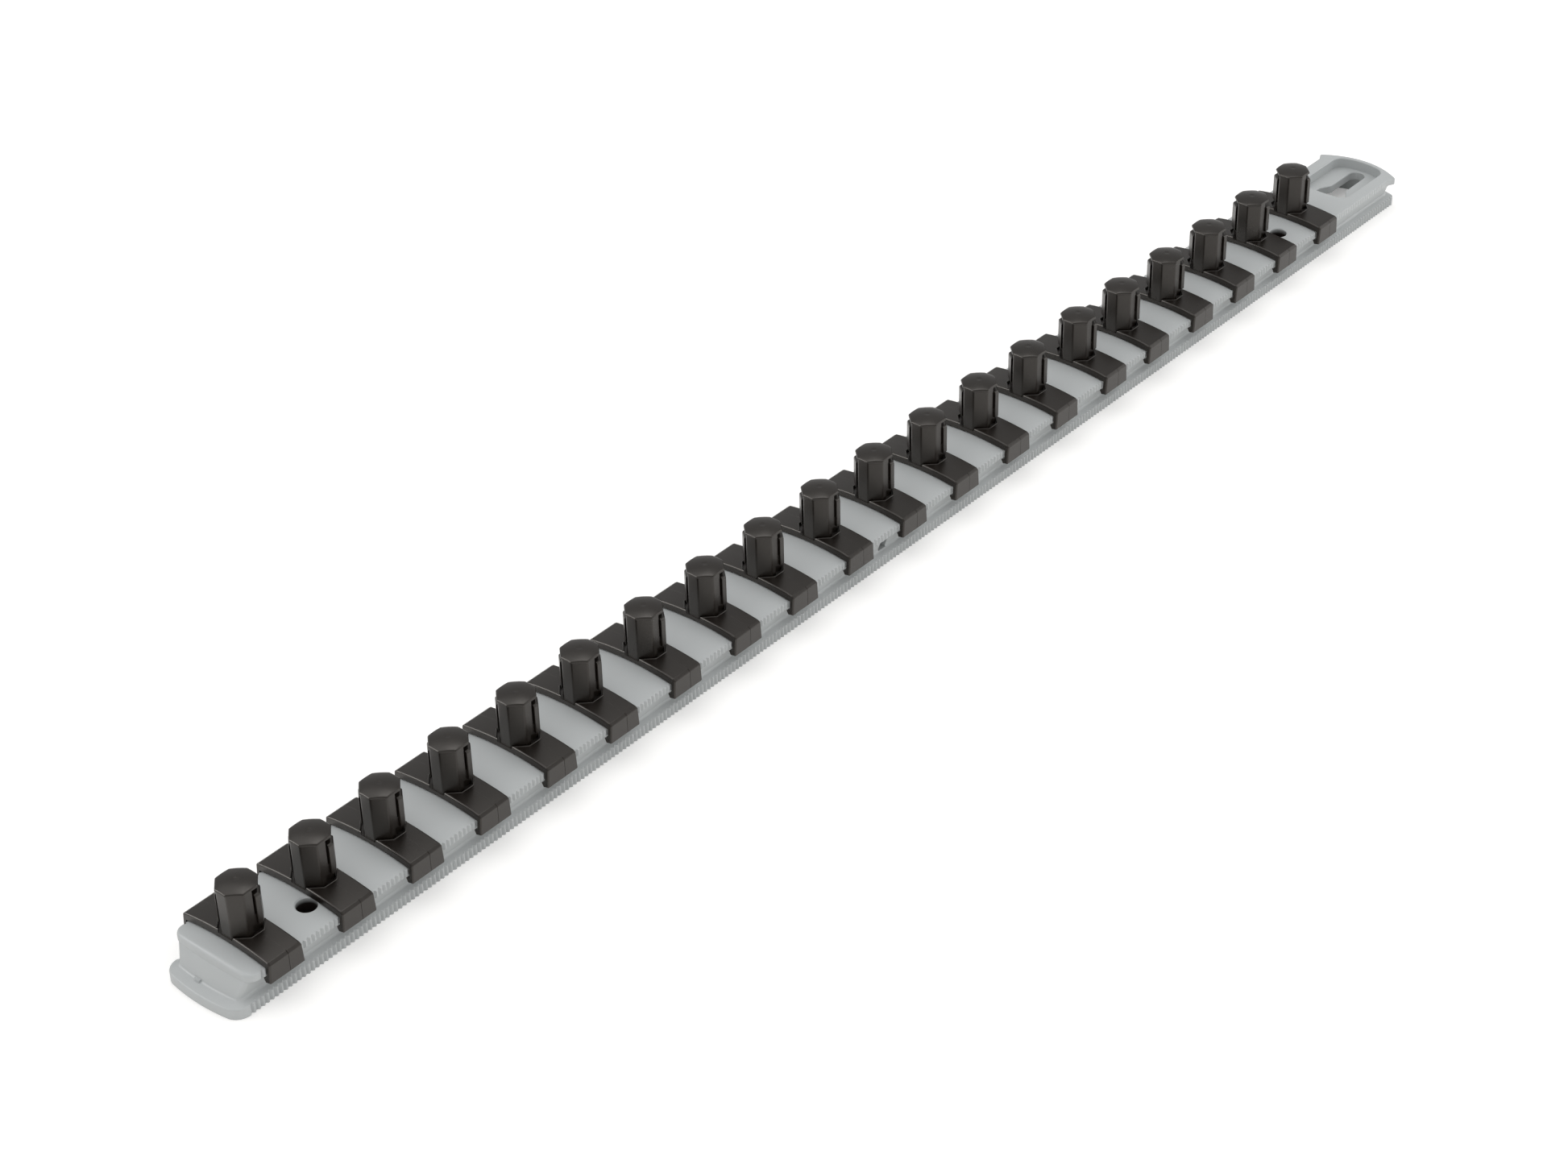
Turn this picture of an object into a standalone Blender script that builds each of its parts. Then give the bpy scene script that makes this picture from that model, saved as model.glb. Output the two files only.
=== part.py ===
"""Socket rail: a moulded rail of T section with twenty sliding clips that each hold one socket.

A clip is one moulding: a saddle whose hooks reach under the rail's head, an octagonal post under a
domed cap, and two sprung arms that grip the square drive of a socket. Metres, +Z up. The rail lies
along X, and the middle of its underside is the origin. Its hanging end, with the keyhole, is at +X.
"""
import math

import bmesh
import bpy

# Rail, whole length and flange
RAIL_LENGTH = 0.4550
FLANGE_HALF_WIDTH = 0.01145
FLANGE_EDGE_HEIGHT = 0.00265
FLANGE_EDGE_ROUND = 0.0005
LEDGE_RISE = 0.0008
LEDGE_WIDTH = 0.0034
FLANGE_NEAR_BOW = 0.0013
FLANGE_NEAR_CORNER = 0.0030
FLANGE_FAR_BOW = 0.0027
FLANGE_FAR_CORNER = 0.0012

# Rail, neck between flange and head
NECK_FOOT_HALF_WIDTH = 0.0093
NECK_TOP_HALF_WIDTH = 0.0107
NECK_CORNER = 0.0008
NECK_NEAR_INSET = 0.0029
NECK_NEAR_SLOPE = 0.0015
NECK_FAR_INSET = 0.0011
NECK_FAR_BOW = 0.0038

# Rail, crowned head that the clips slide on
HEAD_HALF_WIDTH = 0.0120
HEAD_EDGE_HEIGHT = 0.0095
HEAD_CROWN = 0.0009
LIP_HEIGHT = 0.0078
LIP_SLOPE = 0.46
HEAD_NEAR_INSET = 0.0045
HEAD_NEAR_BOW = 0.0007
HEAD_NEAR_CORNER = 0.0030
HEAD_NEAR_ROUND = 0.0011

# Rail, flat hanging plate at the far end, with its two stop ears
PLATE_LENGTH = 0.0350
PLATE_HALF_WIDTH = 0.0115
PLATE_HEIGHT = 0.0096
PLATE_FAR_INSET = 0.0004
PLATE_BOW = 0.0041
PLATE_EDGE_ROUND = 0.0003
PLATE_CORNER = 0.0004
EAR_HALF_WIDTH = 0.0126
EAR_LENGTH = 0.0026

# Rail, pocket and keyhole in the plate
POCKET_HALF_WIDTH = 0.0078
POCKET_LENGTH = 0.0231
POCKET_DEPTH = 0.0030
POCKET_CORNER = 0.0025
POCKET_END_WALL = 0.0013
POCKET_NEAR_BOW = 0.0006
POCKET_FLOOR = 0.0024
KEYHOLE_LENGTH = 0.0191
KEYHOLE_HALF_WIDTH = 0.0045
SLOT_HALF_WIDTH = 0.0024
SLOT_END_MARGIN = 0.0009

# Rail, screw holes, gate window and hollow underside
SCREW_HOLE_RADIUS = 0.0024
SCREW_BORE_RADIUS = 0.0016
SCREW_STEP_DEPTH = 0.0030
SCREW_HOLE_OFFSET = 0.0044
SCREW_NEAR_PLACE = 0.0279
SCREW_FAR_PLACE = 0.0544
SCREW_BOSS_RADIUS = 0.0040
BOSS_FOOT_GAP = 0.0003
WINDOW_WIDTH = 0.0027
WINDOW_HEIGHT = 0.0031
WINDOW_SILL = 0.0006
WINDOW_PLACE = 0.2147
NECK_WALL = 0.0020
HEAD_WALL = 0.0021
CORE_DRAFT = 0.0003
RIB_THICKNESS = 0.0015
CORE_CELLS = 10

# Rail, fine teeth along the edges of the head's lips
TOOTH_PITCH = 0.00127
TOOTH_DEPTH = 0.0003

# Clip, saddle and hooks
CLIP_COUNT = 20
CLIP_FIRST_PLACE = 0.01255
CLIP_LAST_PLACE = 0.04193
CLIP_LENGTH = 0.0098
CLIP_CLEARANCE = 0.0003
SKIRT_WALL = 0.00105
SADDLE_WALL = 0.00155
SADDLE_CROWN = 0.00105
SADDLE_EDGE_ROUND = 0.0004
SADDLE_END_ROUND = 0.0005
SKIRT_DROP = 0.0018
SKIRT_CHAMFER = 0.00025
HOOK_REACH = 0.00095
HOOK_GAP = 0.0005
HOOK_BACK = 0.0006

# Clip, post, cap and the well round the post's foot
POST_HALF_LENGTH = 0.0042
POST_HALF_WIDTH = 0.0044
POST_HEIGHT = 0.0102
POST_SINK = 0.0005
CAP_HALF_LENGTH = 0.00445
CAP_HALF_WIDTH = 0.0048
CAP_RIM_HEIGHT = 0.0009
CAP_DOME_HEIGHT = 0.0008
WELL_DEPTH = 0.0008
WELL_MARGIN = 0.0001

# Clip, sprung arms at two opposite corners of the post
SLIT_WIDTH = 0.0005
SLIT_X = 0.0005
SLIT_Y = 0.0016
ARM_LENGTH = 0.0050
ARM_TOP_GAP = 0.0012
ARM_STAND = 0.00035
PAD_LENGTH = 0.0064
ARM_CHAMFER = 0.0007
ARM_CHAMFER_HEIGHT = 0.0008
HEEL_DEPTH = 0.0008
HEEL_X = 0.0006

# Cuts run past the faces they open by this much, and joined solids sink into each other by it
OVERRUN = 0.0005
# Points nearer than this are one point
WELD = 0.000001

# Faces nearer to one plane than this, in radians, are one flat face
FLAT_ANGLE = 0.002

ROUND_STEPS = 24
CORNER_STEPS = 3
CROWN_STEPS = 4

# Each clip's distance from even spacing, as a share of the pitch: clips slide, so they never stand even
CLIP_SHIFT_SHARES = (
    0.063, 0.036, -0.006, -0.026, -0.021, -0.046, -0.025, -0.012, -0.019, -0.010,
    -0.012, -0.003, 0.018, 0.016, 0.064, 0.008, 0.008, -0.021, -0.005, -0.005,
)
# Flat sides of the octagon, as shares of its half length and half width
OCTAGON_FLAT_SHARES = (0.39, 0.33)
# Cap rings above its rim: height as a share of the dome, size as a share of the rim
DOME_SHARES = ((0.0, 1.0), (0.65, 0.90), (1.0, 0.60))
# Keyhole outline before its slot: distance as a share of its length, half width as a share of its widest
KEYHOLE_SHARES = ((0.0, 0.0), (0.015, 0.45), (0.06, 0.84), (0.125, 1.0), (0.19, 0.96), (0.26, 0.80),
                  (0.32, 0.65), (0.38, 0.55))

NEAR_END = -RAIL_LENGTH / 2
FAR_END = RAIL_LENGTH / 2
NECK_TOP = LIP_HEIGHT - LIP_SLOPE * (HEAD_HALF_WIDTH - NECK_TOP_HALF_WIDTH)
SADDLE_SEAT = HEAD_EDGE_HEIGHT + CLIP_CLEARANCE
SADDLE_EDGE_HEIGHT = SADDLE_SEAT + SADDLE_WALL
SADDLE_TOP = SADDLE_EDGE_HEIGHT + SADDLE_CROWN
WELL_FLOOR = SADDLE_TOP - WELL_DEPTH
CAP_UNDERSIDE = SADDLE_TOP + POST_HEIGHT
PLATE_START = FAR_END - PLATE_FAR_INSET - PLATE_LENGTH
POCKET_END = FAR_END - PLATE_FAR_INSET - POCKET_END_WALL
CLIP_PITCH = (RAIL_LENGTH - CLIP_FIRST_PLACE - CLIP_LAST_PLACE) / (CLIP_COUNT - 1)


def new_collection(name):
    """A new collection in the scene."""
    collection = bpy.data.collections.new(name)
    bpy.context.scene.collection.children.link(collection)
    return collection


def plastic(name, colour, roughness):
    """A Principled plastic in one colour."""
    material = bpy.data.materials.new(name)
    material.use_nodes = True
    shader = material.node_tree.nodes["Principled BSDF"]
    shader.inputs["Base Color"].default_value = (*colour, 1.0)
    shader.inputs["Roughness"].default_value = roughness
    shader.inputs["Metallic"].default_value = 0.0
    return material


def place_mesh(name, mesh, collection):
    """A named object that shows a mesh, in a collection."""
    piece = bpy.data.objects.new(name, mesh)
    collection.objects.link(piece)
    return piece


def as_guide(piece):
    """Keep a cutter or a joined shape out of the finished part."""
    piece.hide_render = True
    piece.display_type = "WIRE"
    return piece


def evaluated_mesh(piece):
    """The piece's mesh with its modifiers carried out."""
    bpy.context.view_layer.update()
    graph = bpy.context.evaluated_depsgraph_get()
    return bpy.data.meshes.new_from_object(piece.evaluated_get(graph))


def extrude_outline(name, outline, bottom, top):
    """A prism on a flat outline of (x, y) points, from one height to another."""
    curve = bpy.data.curves.new(name, "CURVE")
    curve.dimensions = "2D"
    curve.fill_mode = "BOTH"
    curve.extrude = (top - bottom) / 2
    spline = curve.splines.new("POLY")
    spline.points.add(len(outline) - 1)
    for point, (x, y) in zip(spline.points, outline):
        point.co = (x, y, 0.0, 1.0)
    spline.use_cyclic_u = True
    drawn = place_mesh(name, curve, bpy.context.scene.collection)
    mesh = evaluated_mesh(drawn)
    bpy.data.objects.remove(drawn)
    shape = bmesh.new()
    shape.from_mesh(mesh)
    bmesh.ops.remove_doubles(shape, verts=shape.verts, dist=WELD)
    bmesh.ops.translate(shape, verts=shape.verts, vec=(0.0, 0.0, (bottom + top) / 2))
    bmesh.ops.recalc_face_normals(shape, faces=shape.faces)
    shape.to_mesh(mesh)
    shape.free()
    return mesh


def loft_rings(name, rings):
    """A closed solid through rings of (x, y, z) points, each with as many points as the next."""
    shape = bmesh.new()
    loops = [[shape.verts.new(point) for point in ring] for ring in rings]
    for lower, upper in zip(loops, loops[1:]):
        for step, corner in enumerate(lower):
            following = (step + 1) % len(lower)
            shape.faces.new((corner, lower[following], upper[following], upper[step]))
    shape.faces.new(reversed(loops[0]))
    shape.faces.new(loops[-1])
    bmesh.ops.remove_doubles(shape, verts=shape.verts, dist=WELD)
    bmesh.ops.recalc_face_normals(shape, faces=shape.faces)
    mesh = bpy.data.meshes.new(name)
    shape.to_mesh(mesh)
    shape.free()
    return mesh


def at_height(outline, height):
    """A flat outline lifted to one height."""
    return [(x, y, height) for x, y in outline]


def box_between(shape, low, high):
    """Add a box between two corners to a mesh in work."""
    cube = bmesh.ops.create_cube(shape, size=1.0)["verts"]
    bmesh.ops.scale(shape, verts=cube, vec=[b - a for a, b in zip(low, high)])
    bmesh.ops.translate(shape, verts=cube, vec=[(a + b) / 2 for a, b in zip(low, high)])
    return cube


def cylinder_between(shape, x, y, radius, bottom, top):
    """Add an upright cylinder to a mesh in work."""
    round_piece = bmesh.ops.create_cone(shape, cap_ends=True, segments=ROUND_STEPS, radius1=radius,
                                        radius2=radius, depth=top - bottom)["verts"]
    bmesh.ops.translate(shape, verts=round_piece, vec=(x, y, (bottom + top) / 2))
    return round_piece


def combine(piece, other, operation):
    """Join another solid to a piece, or cut it away, with a live Boolean modifier."""
    modifier = piece.modifiers.new(other.name, "BOOLEAN")
    modifier.operation = operation
    modifier.solver = "EXACT"
    modifier.object = other


def bowed_end(tip, half_width, bow, corner, facing):
    """Points across one rounded end of an outline, from -Y to +Y.

    The end is bowed outwards by bow at its middle, and its corners are rounded. facing is 1 at the
    far end and -1 at the near one.
    """
    straight = half_width - corner
    places = [(-straight * share, 0.0) for share in (1.0, 0.5, 0.0, -0.5, -1.0)]
    turns = [math.pi / 2 * (step + 1) / CORNER_STEPS for step in range(CORNER_STEPS)]
    rounds = [(straight + corner * math.sin(turn), corner * (1 - math.cos(turn))) for turn in turns]
    places = [(-y, drop) for y, drop in reversed(rounds)] + places + rounds
    return [(tip - facing * (bow * (y / half_width) ** 2 + drop), y) for y, drop in places]


def plan_outline(near, far):
    """A closed plan outline through a near end and a far end."""
    return list(reversed(near)) + far


def flange_outline(inset):
    """The flange seen from above, drawn in by an inset all round."""
    half_width = FLANGE_HALF_WIDTH - inset
    near = bowed_end(NEAR_END + inset, half_width, FLANGE_NEAR_BOW, FLANGE_NEAR_CORNER, -1)
    far = bowed_end(FAR_END - inset, half_width, FLANGE_FAR_BOW, FLANGE_FAR_CORNER, 1)
    return plan_outline(near, far)


def flange_mesh():
    """Flange with a rounded upper edge and a ledge that rises to the neck."""
    rings = [
        at_height(flange_outline(0.0), 0.0),
        at_height(flange_outline(0.0), FLANGE_EDGE_HEIGHT - FLANGE_EDGE_ROUND),
        at_height(flange_outline(FLANGE_EDGE_ROUND), FLANGE_EDGE_HEIGHT),
        at_height(flange_outline(LEDGE_WIDTH), FLANGE_EDGE_HEIGHT + LEDGE_RISE),
    ]
    return loft_rings("flange", rings)


def neck_ring(height):
    """The neck's outline at a height: wider and shorter towards the head."""
    share = (height - FLANGE_EDGE_HEIGHT) / (NECK_TOP - FLANGE_EDGE_HEIGHT)
    half_width = NECK_FOOT_HALF_WIDTH + (NECK_TOP_HALF_WIDTH - NECK_FOOT_HALF_WIDTH) * share
    near_tip = NEAR_END + NECK_NEAR_INSET + NECK_NEAR_SLOPE * share
    near = bowed_end(near_tip, half_width, HEAD_NEAR_BOW, NECK_CORNER, -1)
    far = bowed_end(FAR_END - NECK_FAR_INSET, half_width, NECK_FAR_BOW, NECK_CORNER, 1)
    return at_height(plan_outline(near, far), height)


def neck_mesh():
    """Neck with walls that lean out towards the head."""
    rings = [neck_ring(FLANGE_EDGE_HEIGHT - OVERRUN), neck_ring(NECK_TOP + OVERRUN)]
    return loft_rings("neck", rings)


def crown_height(edge_height, crown, y):
    """Height of a crowned surface across the rail."""
    return edge_height + crown * (1 - (y / HEAD_HALF_WIDTH) ** 2)


def lip_under(y):
    """Height of the sloping underside of the head's lips."""
    return LIP_HEIGHT - LIP_SLOPE * (HEAD_HALF_WIDTH - y)


def head_section():
    """The head's section across the rail, as (y, z) points."""
    wide = HEAD_HALF_WIDTH + OVERRUN
    steps = [2 * step / CROWN_STEPS - 1 for step in range(CROWN_STEPS + 1)]
    top = [(y, crown_height(HEAD_EDGE_HEIGHT, HEAD_CROWN, y)) for y in (wide * step for step in steps)]
    sunk = NECK_FOOT_HALF_WIDTH
    under = [(wide, lip_under(wide)), (sunk, lip_under(sunk)), (-sunk, lip_under(sunk)),
             (-wide, lip_under(wide))]
    return top + under


def toothed_edge(start, end):
    """Points along the serrated edge of a lip at +Y, after its start: a groove, then a tip, and so on."""
    points = []
    for tooth in range(int((end - start) / TOOTH_PITCH)):
        points.append((start + (tooth + 0.5) * TOOTH_PITCH, HEAD_HALF_WIDTH - TOOTH_DEPTH))
        points.append((start + (tooth + 1) * TOOTH_PITCH, HEAD_HALF_WIDTH))
    return points


def head_mesh(guides):
    """Crowned head: its section drawn along the rail, trimmed to its toothed plan, near rim rounded."""
    near_tip = NEAR_END + HEAD_NEAR_INSET
    far_tip = PLATE_START + OVERRUN
    bar_start = near_tip - OVERRUN
    cell = (far_tip - bar_start) / CORE_CELLS
    stations = [bar_start + step * cell for step in range(CORE_CELLS + 1)]
    bar = loft_rings("head_bar", [[(x, y, z) for y, z in head_section()] for x in stations])
    near = bowed_end(near_tip, HEAD_HALF_WIDTH, HEAD_NEAR_BOW, HEAD_NEAR_CORNER, -1)
    far = [(far_tip + OVERRUN, -HEAD_HALF_WIDTH), (far_tip + OVERRUN, HEAD_HALF_WIDTH)]
    end_of_rim = near_tip + HEAD_NEAR_BOW + HEAD_NEAR_CORNER
    teeth = toothed_edge(end_of_rim, PLATE_START)
    outline = list(reversed(near)) + [(x, -y) for x, y in teeth] + far + list(reversed(teeth))
    ceiling = HEAD_EDGE_HEIGHT + HEAD_CROWN + OVERRUN
    trim = extrude_outline("head_trim", outline, FLANGE_EDGE_HEIGHT, ceiling)
    head = place_mesh("head_bar", bar, guides)
    trimmer = place_mesh("head_trim", trim, guides)
    combine(head, trimmer, "INTERSECT")
    mesh = evaluated_mesh(head)
    bpy.data.objects.remove(head)
    bpy.data.objects.remove(trimmer)
    shape = bmesh.new()
    shape.from_mesh(mesh)
    rim = []
    for edge in shape.edges:
        upright = [abs(face.normal.z) for face in edge.link_faces]
        highest = max(vert.co.z for vert in edge.verts)
        at_end = max(vert.co.x for vert in edge.verts) < end_of_rim
        if at_end and highest > HEAD_EDGE_HEIGHT - OVERRUN and min(upright) < 0.1 and max(upright) > 0.9:
            rim.append(edge)
    bmesh.ops.bevel(shape, geom=rim, offset=HEAD_NEAR_ROUND, segments=2, profile=0.5, affect="EDGES",
                    clamp_overlap=True)
    shape.to_mesh(mesh)
    shape.free()
    return mesh


def plate_outline(inset):
    """The hanging plate seen from above, with its ears, drawn in by an inset."""
    tip = FAR_END - PLATE_FAR_INSET - inset
    ear_start = tip - PLATE_BOW - EAR_LENGTH
    near = [(PLATE_START, -PLATE_HALF_WIDTH + inset), (PLATE_START, PLATE_HALF_WIDTH - inset)]
    end = bowed_end(tip, EAR_HALF_WIDTH - inset, PLATE_BOW, PLATE_CORNER, 1)
    flare = [(ear_start, -PLATE_HALF_WIDTH + inset)] + end + [(ear_start, PLATE_HALF_WIDTH - inset)]
    return plan_outline(near, flare)


def plate_mesh():
    """Flat hanging plate at the far end, with the same lip as the head under its edge."""
    sunk = PLATE_HALF_WIDTH - NECK_FOOT_HALF_WIDTH
    rings = [
        at_height(plate_outline(sunk), LIP_HEIGHT - LIP_SLOPE * sunk),
        at_height(plate_outline(0.0), LIP_HEIGHT),
        at_height(plate_outline(0.0), PLATE_HEIGHT - PLATE_EDGE_ROUND),
        at_height(plate_outline(PLATE_EDGE_ROUND), PLATE_HEIGHT),
    ]
    return loft_rings("plate", rings)


def pocket_mesh():
    """Sunk pocket in the plate, whose far wall follows the plate's bowed end."""
    bow = PLATE_BOW * (POCKET_HALF_WIDTH / EAR_HALF_WIDTH) ** 2
    far = bowed_end(POCKET_END, POCKET_HALF_WIDTH, bow, POCKET_CORNER, 1)
    near = bowed_end(POCKET_END - POCKET_LENGTH, POCKET_HALF_WIDTH, POCKET_NEAR_BOW, POCKET_CORNER, -1)
    outline = plan_outline(near, far)
    return extrude_outline("pocket", outline, PLATE_HEIGHT - POCKET_DEPTH, PLATE_HEIGHT + OVERRUN)


def keyhole_outline():
    """A wide flat-ended mouth that narrows into a slot with a round end."""
    slot_end = POCKET_END - SLOT_END_MARGIN
    start = slot_end - KEYHOLE_LENGTH
    side = [(start + along * KEYHOLE_LENGTH, across * KEYHOLE_HALF_WIDTH)
            for along, across in KEYHOLE_SHARES]
    quarter = [math.pi / 2 * step / CORNER_STEPS for step in range(CORNER_STEPS)]
    turned = [(slot_end - SLOT_HALF_WIDTH * (1 - math.sin(turn)), SLOT_HALF_WIDTH * math.cos(turn))
              for turn in quarter]
    upper = side[1:] + turned
    return side[:1] + [(x, -y) for x, y in upper] + [(slot_end, 0.0)] + list(reversed(upper))


def keyhole_mesh():
    """Keyhole through the pocket's floor, into the hollow below."""
    top = PLATE_HEIGHT - POCKET_DEPTH
    return extrude_outline("keyhole", keyhole_outline(), top - POCKET_FLOOR - OVERRUN, top + OVERRUN)


def core_ring(start, end, half_width, height):
    """One ring of a hollow cell in the underside."""
    corners = ((start, -half_width), (end, -half_width), (end, half_width), (start, half_width))
    return at_height(corners, height)


def far_core_ring(draft, height):
    """One ring of the hollow under the plate, drawn in by a draft, and longer than the keyhole's slot."""
    half_width = NECK_FOOT_HALF_WIDTH - NECK_WALL - draft
    bow = NECK_FAR_BOW * (half_width / NECK_FOOT_HALF_WIDTH) ** 2
    far_tip = POCKET_END - SLOT_END_MARGIN + 2 * CORE_DRAFT - draft
    far = bowed_end(far_tip, half_width, bow, NECK_CORNER, 1)
    near = [(PLATE_START + draft, -half_width), (PLATE_START + draft, half_width)]
    return at_height(plan_outline(near, far), height)


def core_meshes():
    """Hollow cells of the underside, with a rib between each two, and the hollow under the plate."""
    half_width = NECK_FOOT_HALF_WIDTH - NECK_WALL
    first = NEAR_END + NECK_NEAR_INSET + NECK_NEAR_SLOPE + HEAD_NEAR_BOW + NECK_WALL
    last = PLATE_START - RIB_THICKNESS
    cell_pitch = (last - first) / CORE_CELLS
    ceiling = crown_height(HEAD_EDGE_HEIGHT, HEAD_CROWN, half_width) - HEAD_WALL
    cells = []
    for cell in range(CORE_CELLS):
        start = first + cell * cell_pitch
        end = start + cell_pitch - RIB_THICKNESS
        rings = [
            core_ring(start, end, half_width, -OVERRUN),
            core_ring(start + CORE_DRAFT, end - CORE_DRAFT, half_width - CORE_DRAFT, ceiling),
        ]
        cells.append(loft_rings("core_cell", rings))
    roof = PLATE_HEIGHT - POCKET_DEPTH - POCKET_FLOOR
    cells.append(loft_rings("core_far", [far_core_ring(0.0, -OVERRUN), far_core_ring(CORE_DRAFT, roof)]))
    return cells


def merge_meshes(name, meshes):
    """One mesh that holds several solids that don't touch."""
    shape = bmesh.new()
    for mesh in meshes:
        shape.from_mesh(mesh)
    merged = bpy.data.meshes.new(name)
    shape.to_mesh(merged)
    shape.free()
    return merged


def screw_places():
    """Where the two screw holes stand, off the rail's middle line."""
    return [(x, -SCREW_HOLE_OFFSET) for x in (NEAR_END + SCREW_NEAR_PLACE, FAR_END - SCREW_FAR_PLACE)]


def upright_cylinders(name, radius, bottom, top):
    """A cylinder at each screw hole."""
    shape = bmesh.new()
    for x, y in screw_places():
        cylinder_between(shape, x, y, radius, bottom, top)
    mesh = bpy.data.meshes.new(name)
    shape.to_mesh(mesh)
    shape.free()
    return mesh


def window_mesh():
    """Small square window in the neck's -Y wall."""
    x = NEAR_END + WINDOW_PLACE
    sill = FLANGE_EDGE_HEIGHT + WINDOW_SILL
    shape = bmesh.new()
    inner = -(NECK_FOOT_HALF_WIDTH - NECK_WALL - OVERRUN)
    low = (x - WINDOW_WIDTH / 2, -NECK_TOP_HALF_WIDTH, sill)
    high = (x + WINDOW_WIDTH / 2, inner, sill + WINDOW_HEIGHT)
    box_between(shape, low, high)
    mesh = bpy.data.meshes.new("window")
    shape.to_mesh(mesh)
    shape.free()
    return mesh


def build_rail(parts, guides, material):
    """The rail: flange, neck, head and plate joined, then hollowed, pocketed and drilled."""
    rail = place_mesh("rail", flange_mesh(), parts)
    rail.data.materials.append(material)
    top = HEAD_EDGE_HEIGHT + HEAD_CROWN + OVERRUN
    step_height = crown_height(HEAD_EDGE_HEIGHT, HEAD_CROWN, SCREW_HOLE_OFFSET) - SCREW_STEP_DEPTH
    boss_top = HEAD_EDGE_HEIGHT - OVERRUN
    bosses = upright_cylinders("screw_bosses", SCREW_BOSS_RADIUS, BOSS_FOOT_GAP, boss_top)
    bores = upright_cylinders("screw_bores", SCREW_BORE_RADIUS, -OVERRUN, top)
    seats = upright_cylinders("screw_seats", SCREW_HOLE_RADIUS, step_height, top)
    changes = (
        ("neck", neck_mesh(), "UNION"),
        ("plate", plate_mesh(), "UNION"),
        ("head", head_mesh(guides), "UNION"),
        ("core", merge_meshes("core", core_meshes()), "DIFFERENCE"),
        ("screw_bosses", bosses, "UNION"),
        ("screw_bores", bores, "DIFFERENCE"),
        ("screw_seats", seats, "DIFFERENCE"),
        ("pocket", pocket_mesh(), "DIFFERENCE"),
        ("keyhole", keyhole_mesh(), "DIFFERENCE"),
        ("window", window_mesh(), "DIFFERENCE"),
    )
    for name, mesh, operation in changes:
        combine(rail, as_guide(place_mesh(name, mesh, guides)), operation)
    return rail


def octagon(half_length, half_width):
    """An octagon with unequal sides, as (x, y) points against the clock."""
    flat_y = half_length * OCTAGON_FLAT_SHARES[0]
    flat_x = half_width * OCTAGON_FLAT_SHARES[1]
    quarter = [(half_length, -flat_x), (half_length, flat_x), (flat_y, half_width), (-flat_y, half_width)]
    return quarter + [(-x, -y) for x, y in quarter]


def saddle_section():
    """The saddle's section across the rail, as (y, z) points, with a hook at each foot."""
    outer = HEAD_HALF_WIDTH + CLIP_CLEARANCE + SKIRT_WALL
    inner = HEAD_HALF_WIDTH + CLIP_CLEARANCE
    foot = LIP_HEIGHT - SKIRT_DROP
    top_half = outer - SADDLE_EDGE_ROUND
    steps = [step / (CROWN_STEPS // 2) for step in range(CROWN_STEPS // 2 + 1)]
    side = [(top_half * step, SADDLE_EDGE_HEIGHT + SADDLE_CROWN * (1 - step ** 2)) for step in steps[1:]]
    side += [
        (outer, SADDLE_EDGE_HEIGHT - SADDLE_EDGE_ROUND),
        (outer, foot + SKIRT_CHAMFER),
        (outer - SKIRT_CHAMFER, foot),
        (inner - HOOK_REACH + HOOK_BACK, foot),
        (inner - HOOK_REACH, lip_under(inner - HOOK_REACH) - HOOK_GAP),
        (inner, lip_under(inner) - HOOK_GAP),
    ]
    seat = [(inner * step, crown_height(SADDLE_SEAT, HEAD_CROWN, inner * step)) for step in steps[1:]]
    side += list(reversed(seat))
    top_middle = (0.0, SADDLE_TOP)
    seat_middle = (0.0, crown_height(SADDLE_SEAT, HEAD_CROWN, 0.0))
    return [top_middle] + side + [seat_middle] + [(-y, z) for y, z in reversed(side)]


def saddle_mesh():
    """The saddle drawn along the rail, with its two upper end edges rounded."""
    half = CLIP_LENGTH / 2
    mesh = loft_rings("saddle", [[(x, y, z) for y, z in saddle_section()] for x in (-half, half)])
    shape = bmesh.new()
    shape.from_mesh(mesh)
    rim = []
    for edge in shape.edges:
        across = abs(edge.verts[0].co.x - edge.verts[1].co.x) < OVERRUN
        lowest = min(vert.co.z for vert in edge.verts)
        if across and lowest > SADDLE_EDGE_HEIGHT - SADDLE_EDGE_ROUND * 1.5:
            rim.append(edge)
    bmesh.ops.bevel(shape, geom=rim, offset=SADDLE_END_ROUND, segments=1, affect="EDGES")
    shape.to_mesh(mesh)
    shape.free()
    return mesh


def well_mesh():
    """Well round the post's foot: the cap's octagon, open at the saddle's two ends."""
    reach = CLIP_LENGTH / 2 + OVERRUN
    outline = []
    for x, y in octagon(CAP_HALF_LENGTH + WELL_MARGIN, CAP_HALF_WIDTH + WELL_MARGIN):
        if abs(x) > CAP_HALF_LENGTH:
            mouth = (math.copysign(reach, x), y)
            outline += [(x, y), mouth] if x * y < 0 else [mouth, (x, y)]
        else:
            outline.append((x, y))
    return loft_rings("well", [at_height(outline, z) for z in (WELL_FLOOR, SADDLE_TOP + OVERRUN)])


def post_mesh():
    """Octagonal post with its overhanging, domed cap."""
    post = octagon(POST_HALF_LENGTH, POST_HALF_WIDTH)
    rings = [at_height(post, WELL_FLOOR - POST_SINK), at_height(post, CAP_UNDERSIDE),
             at_height(octagon(CAP_HALF_LENGTH, CAP_HALF_WIDTH), CAP_UNDERSIDE)]
    rim_top = CAP_UNDERSIDE + CAP_RIM_HEIGHT
    for height_share, size_share in DOME_SHARES:
        ring = octagon(CAP_HALF_LENGTH * size_share, CAP_HALF_WIDTH * size_share)
        rings.append(at_height(ring, rim_top + CAP_DOME_HEIGHT * height_share))
    return loft_rings("post", rings)


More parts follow.
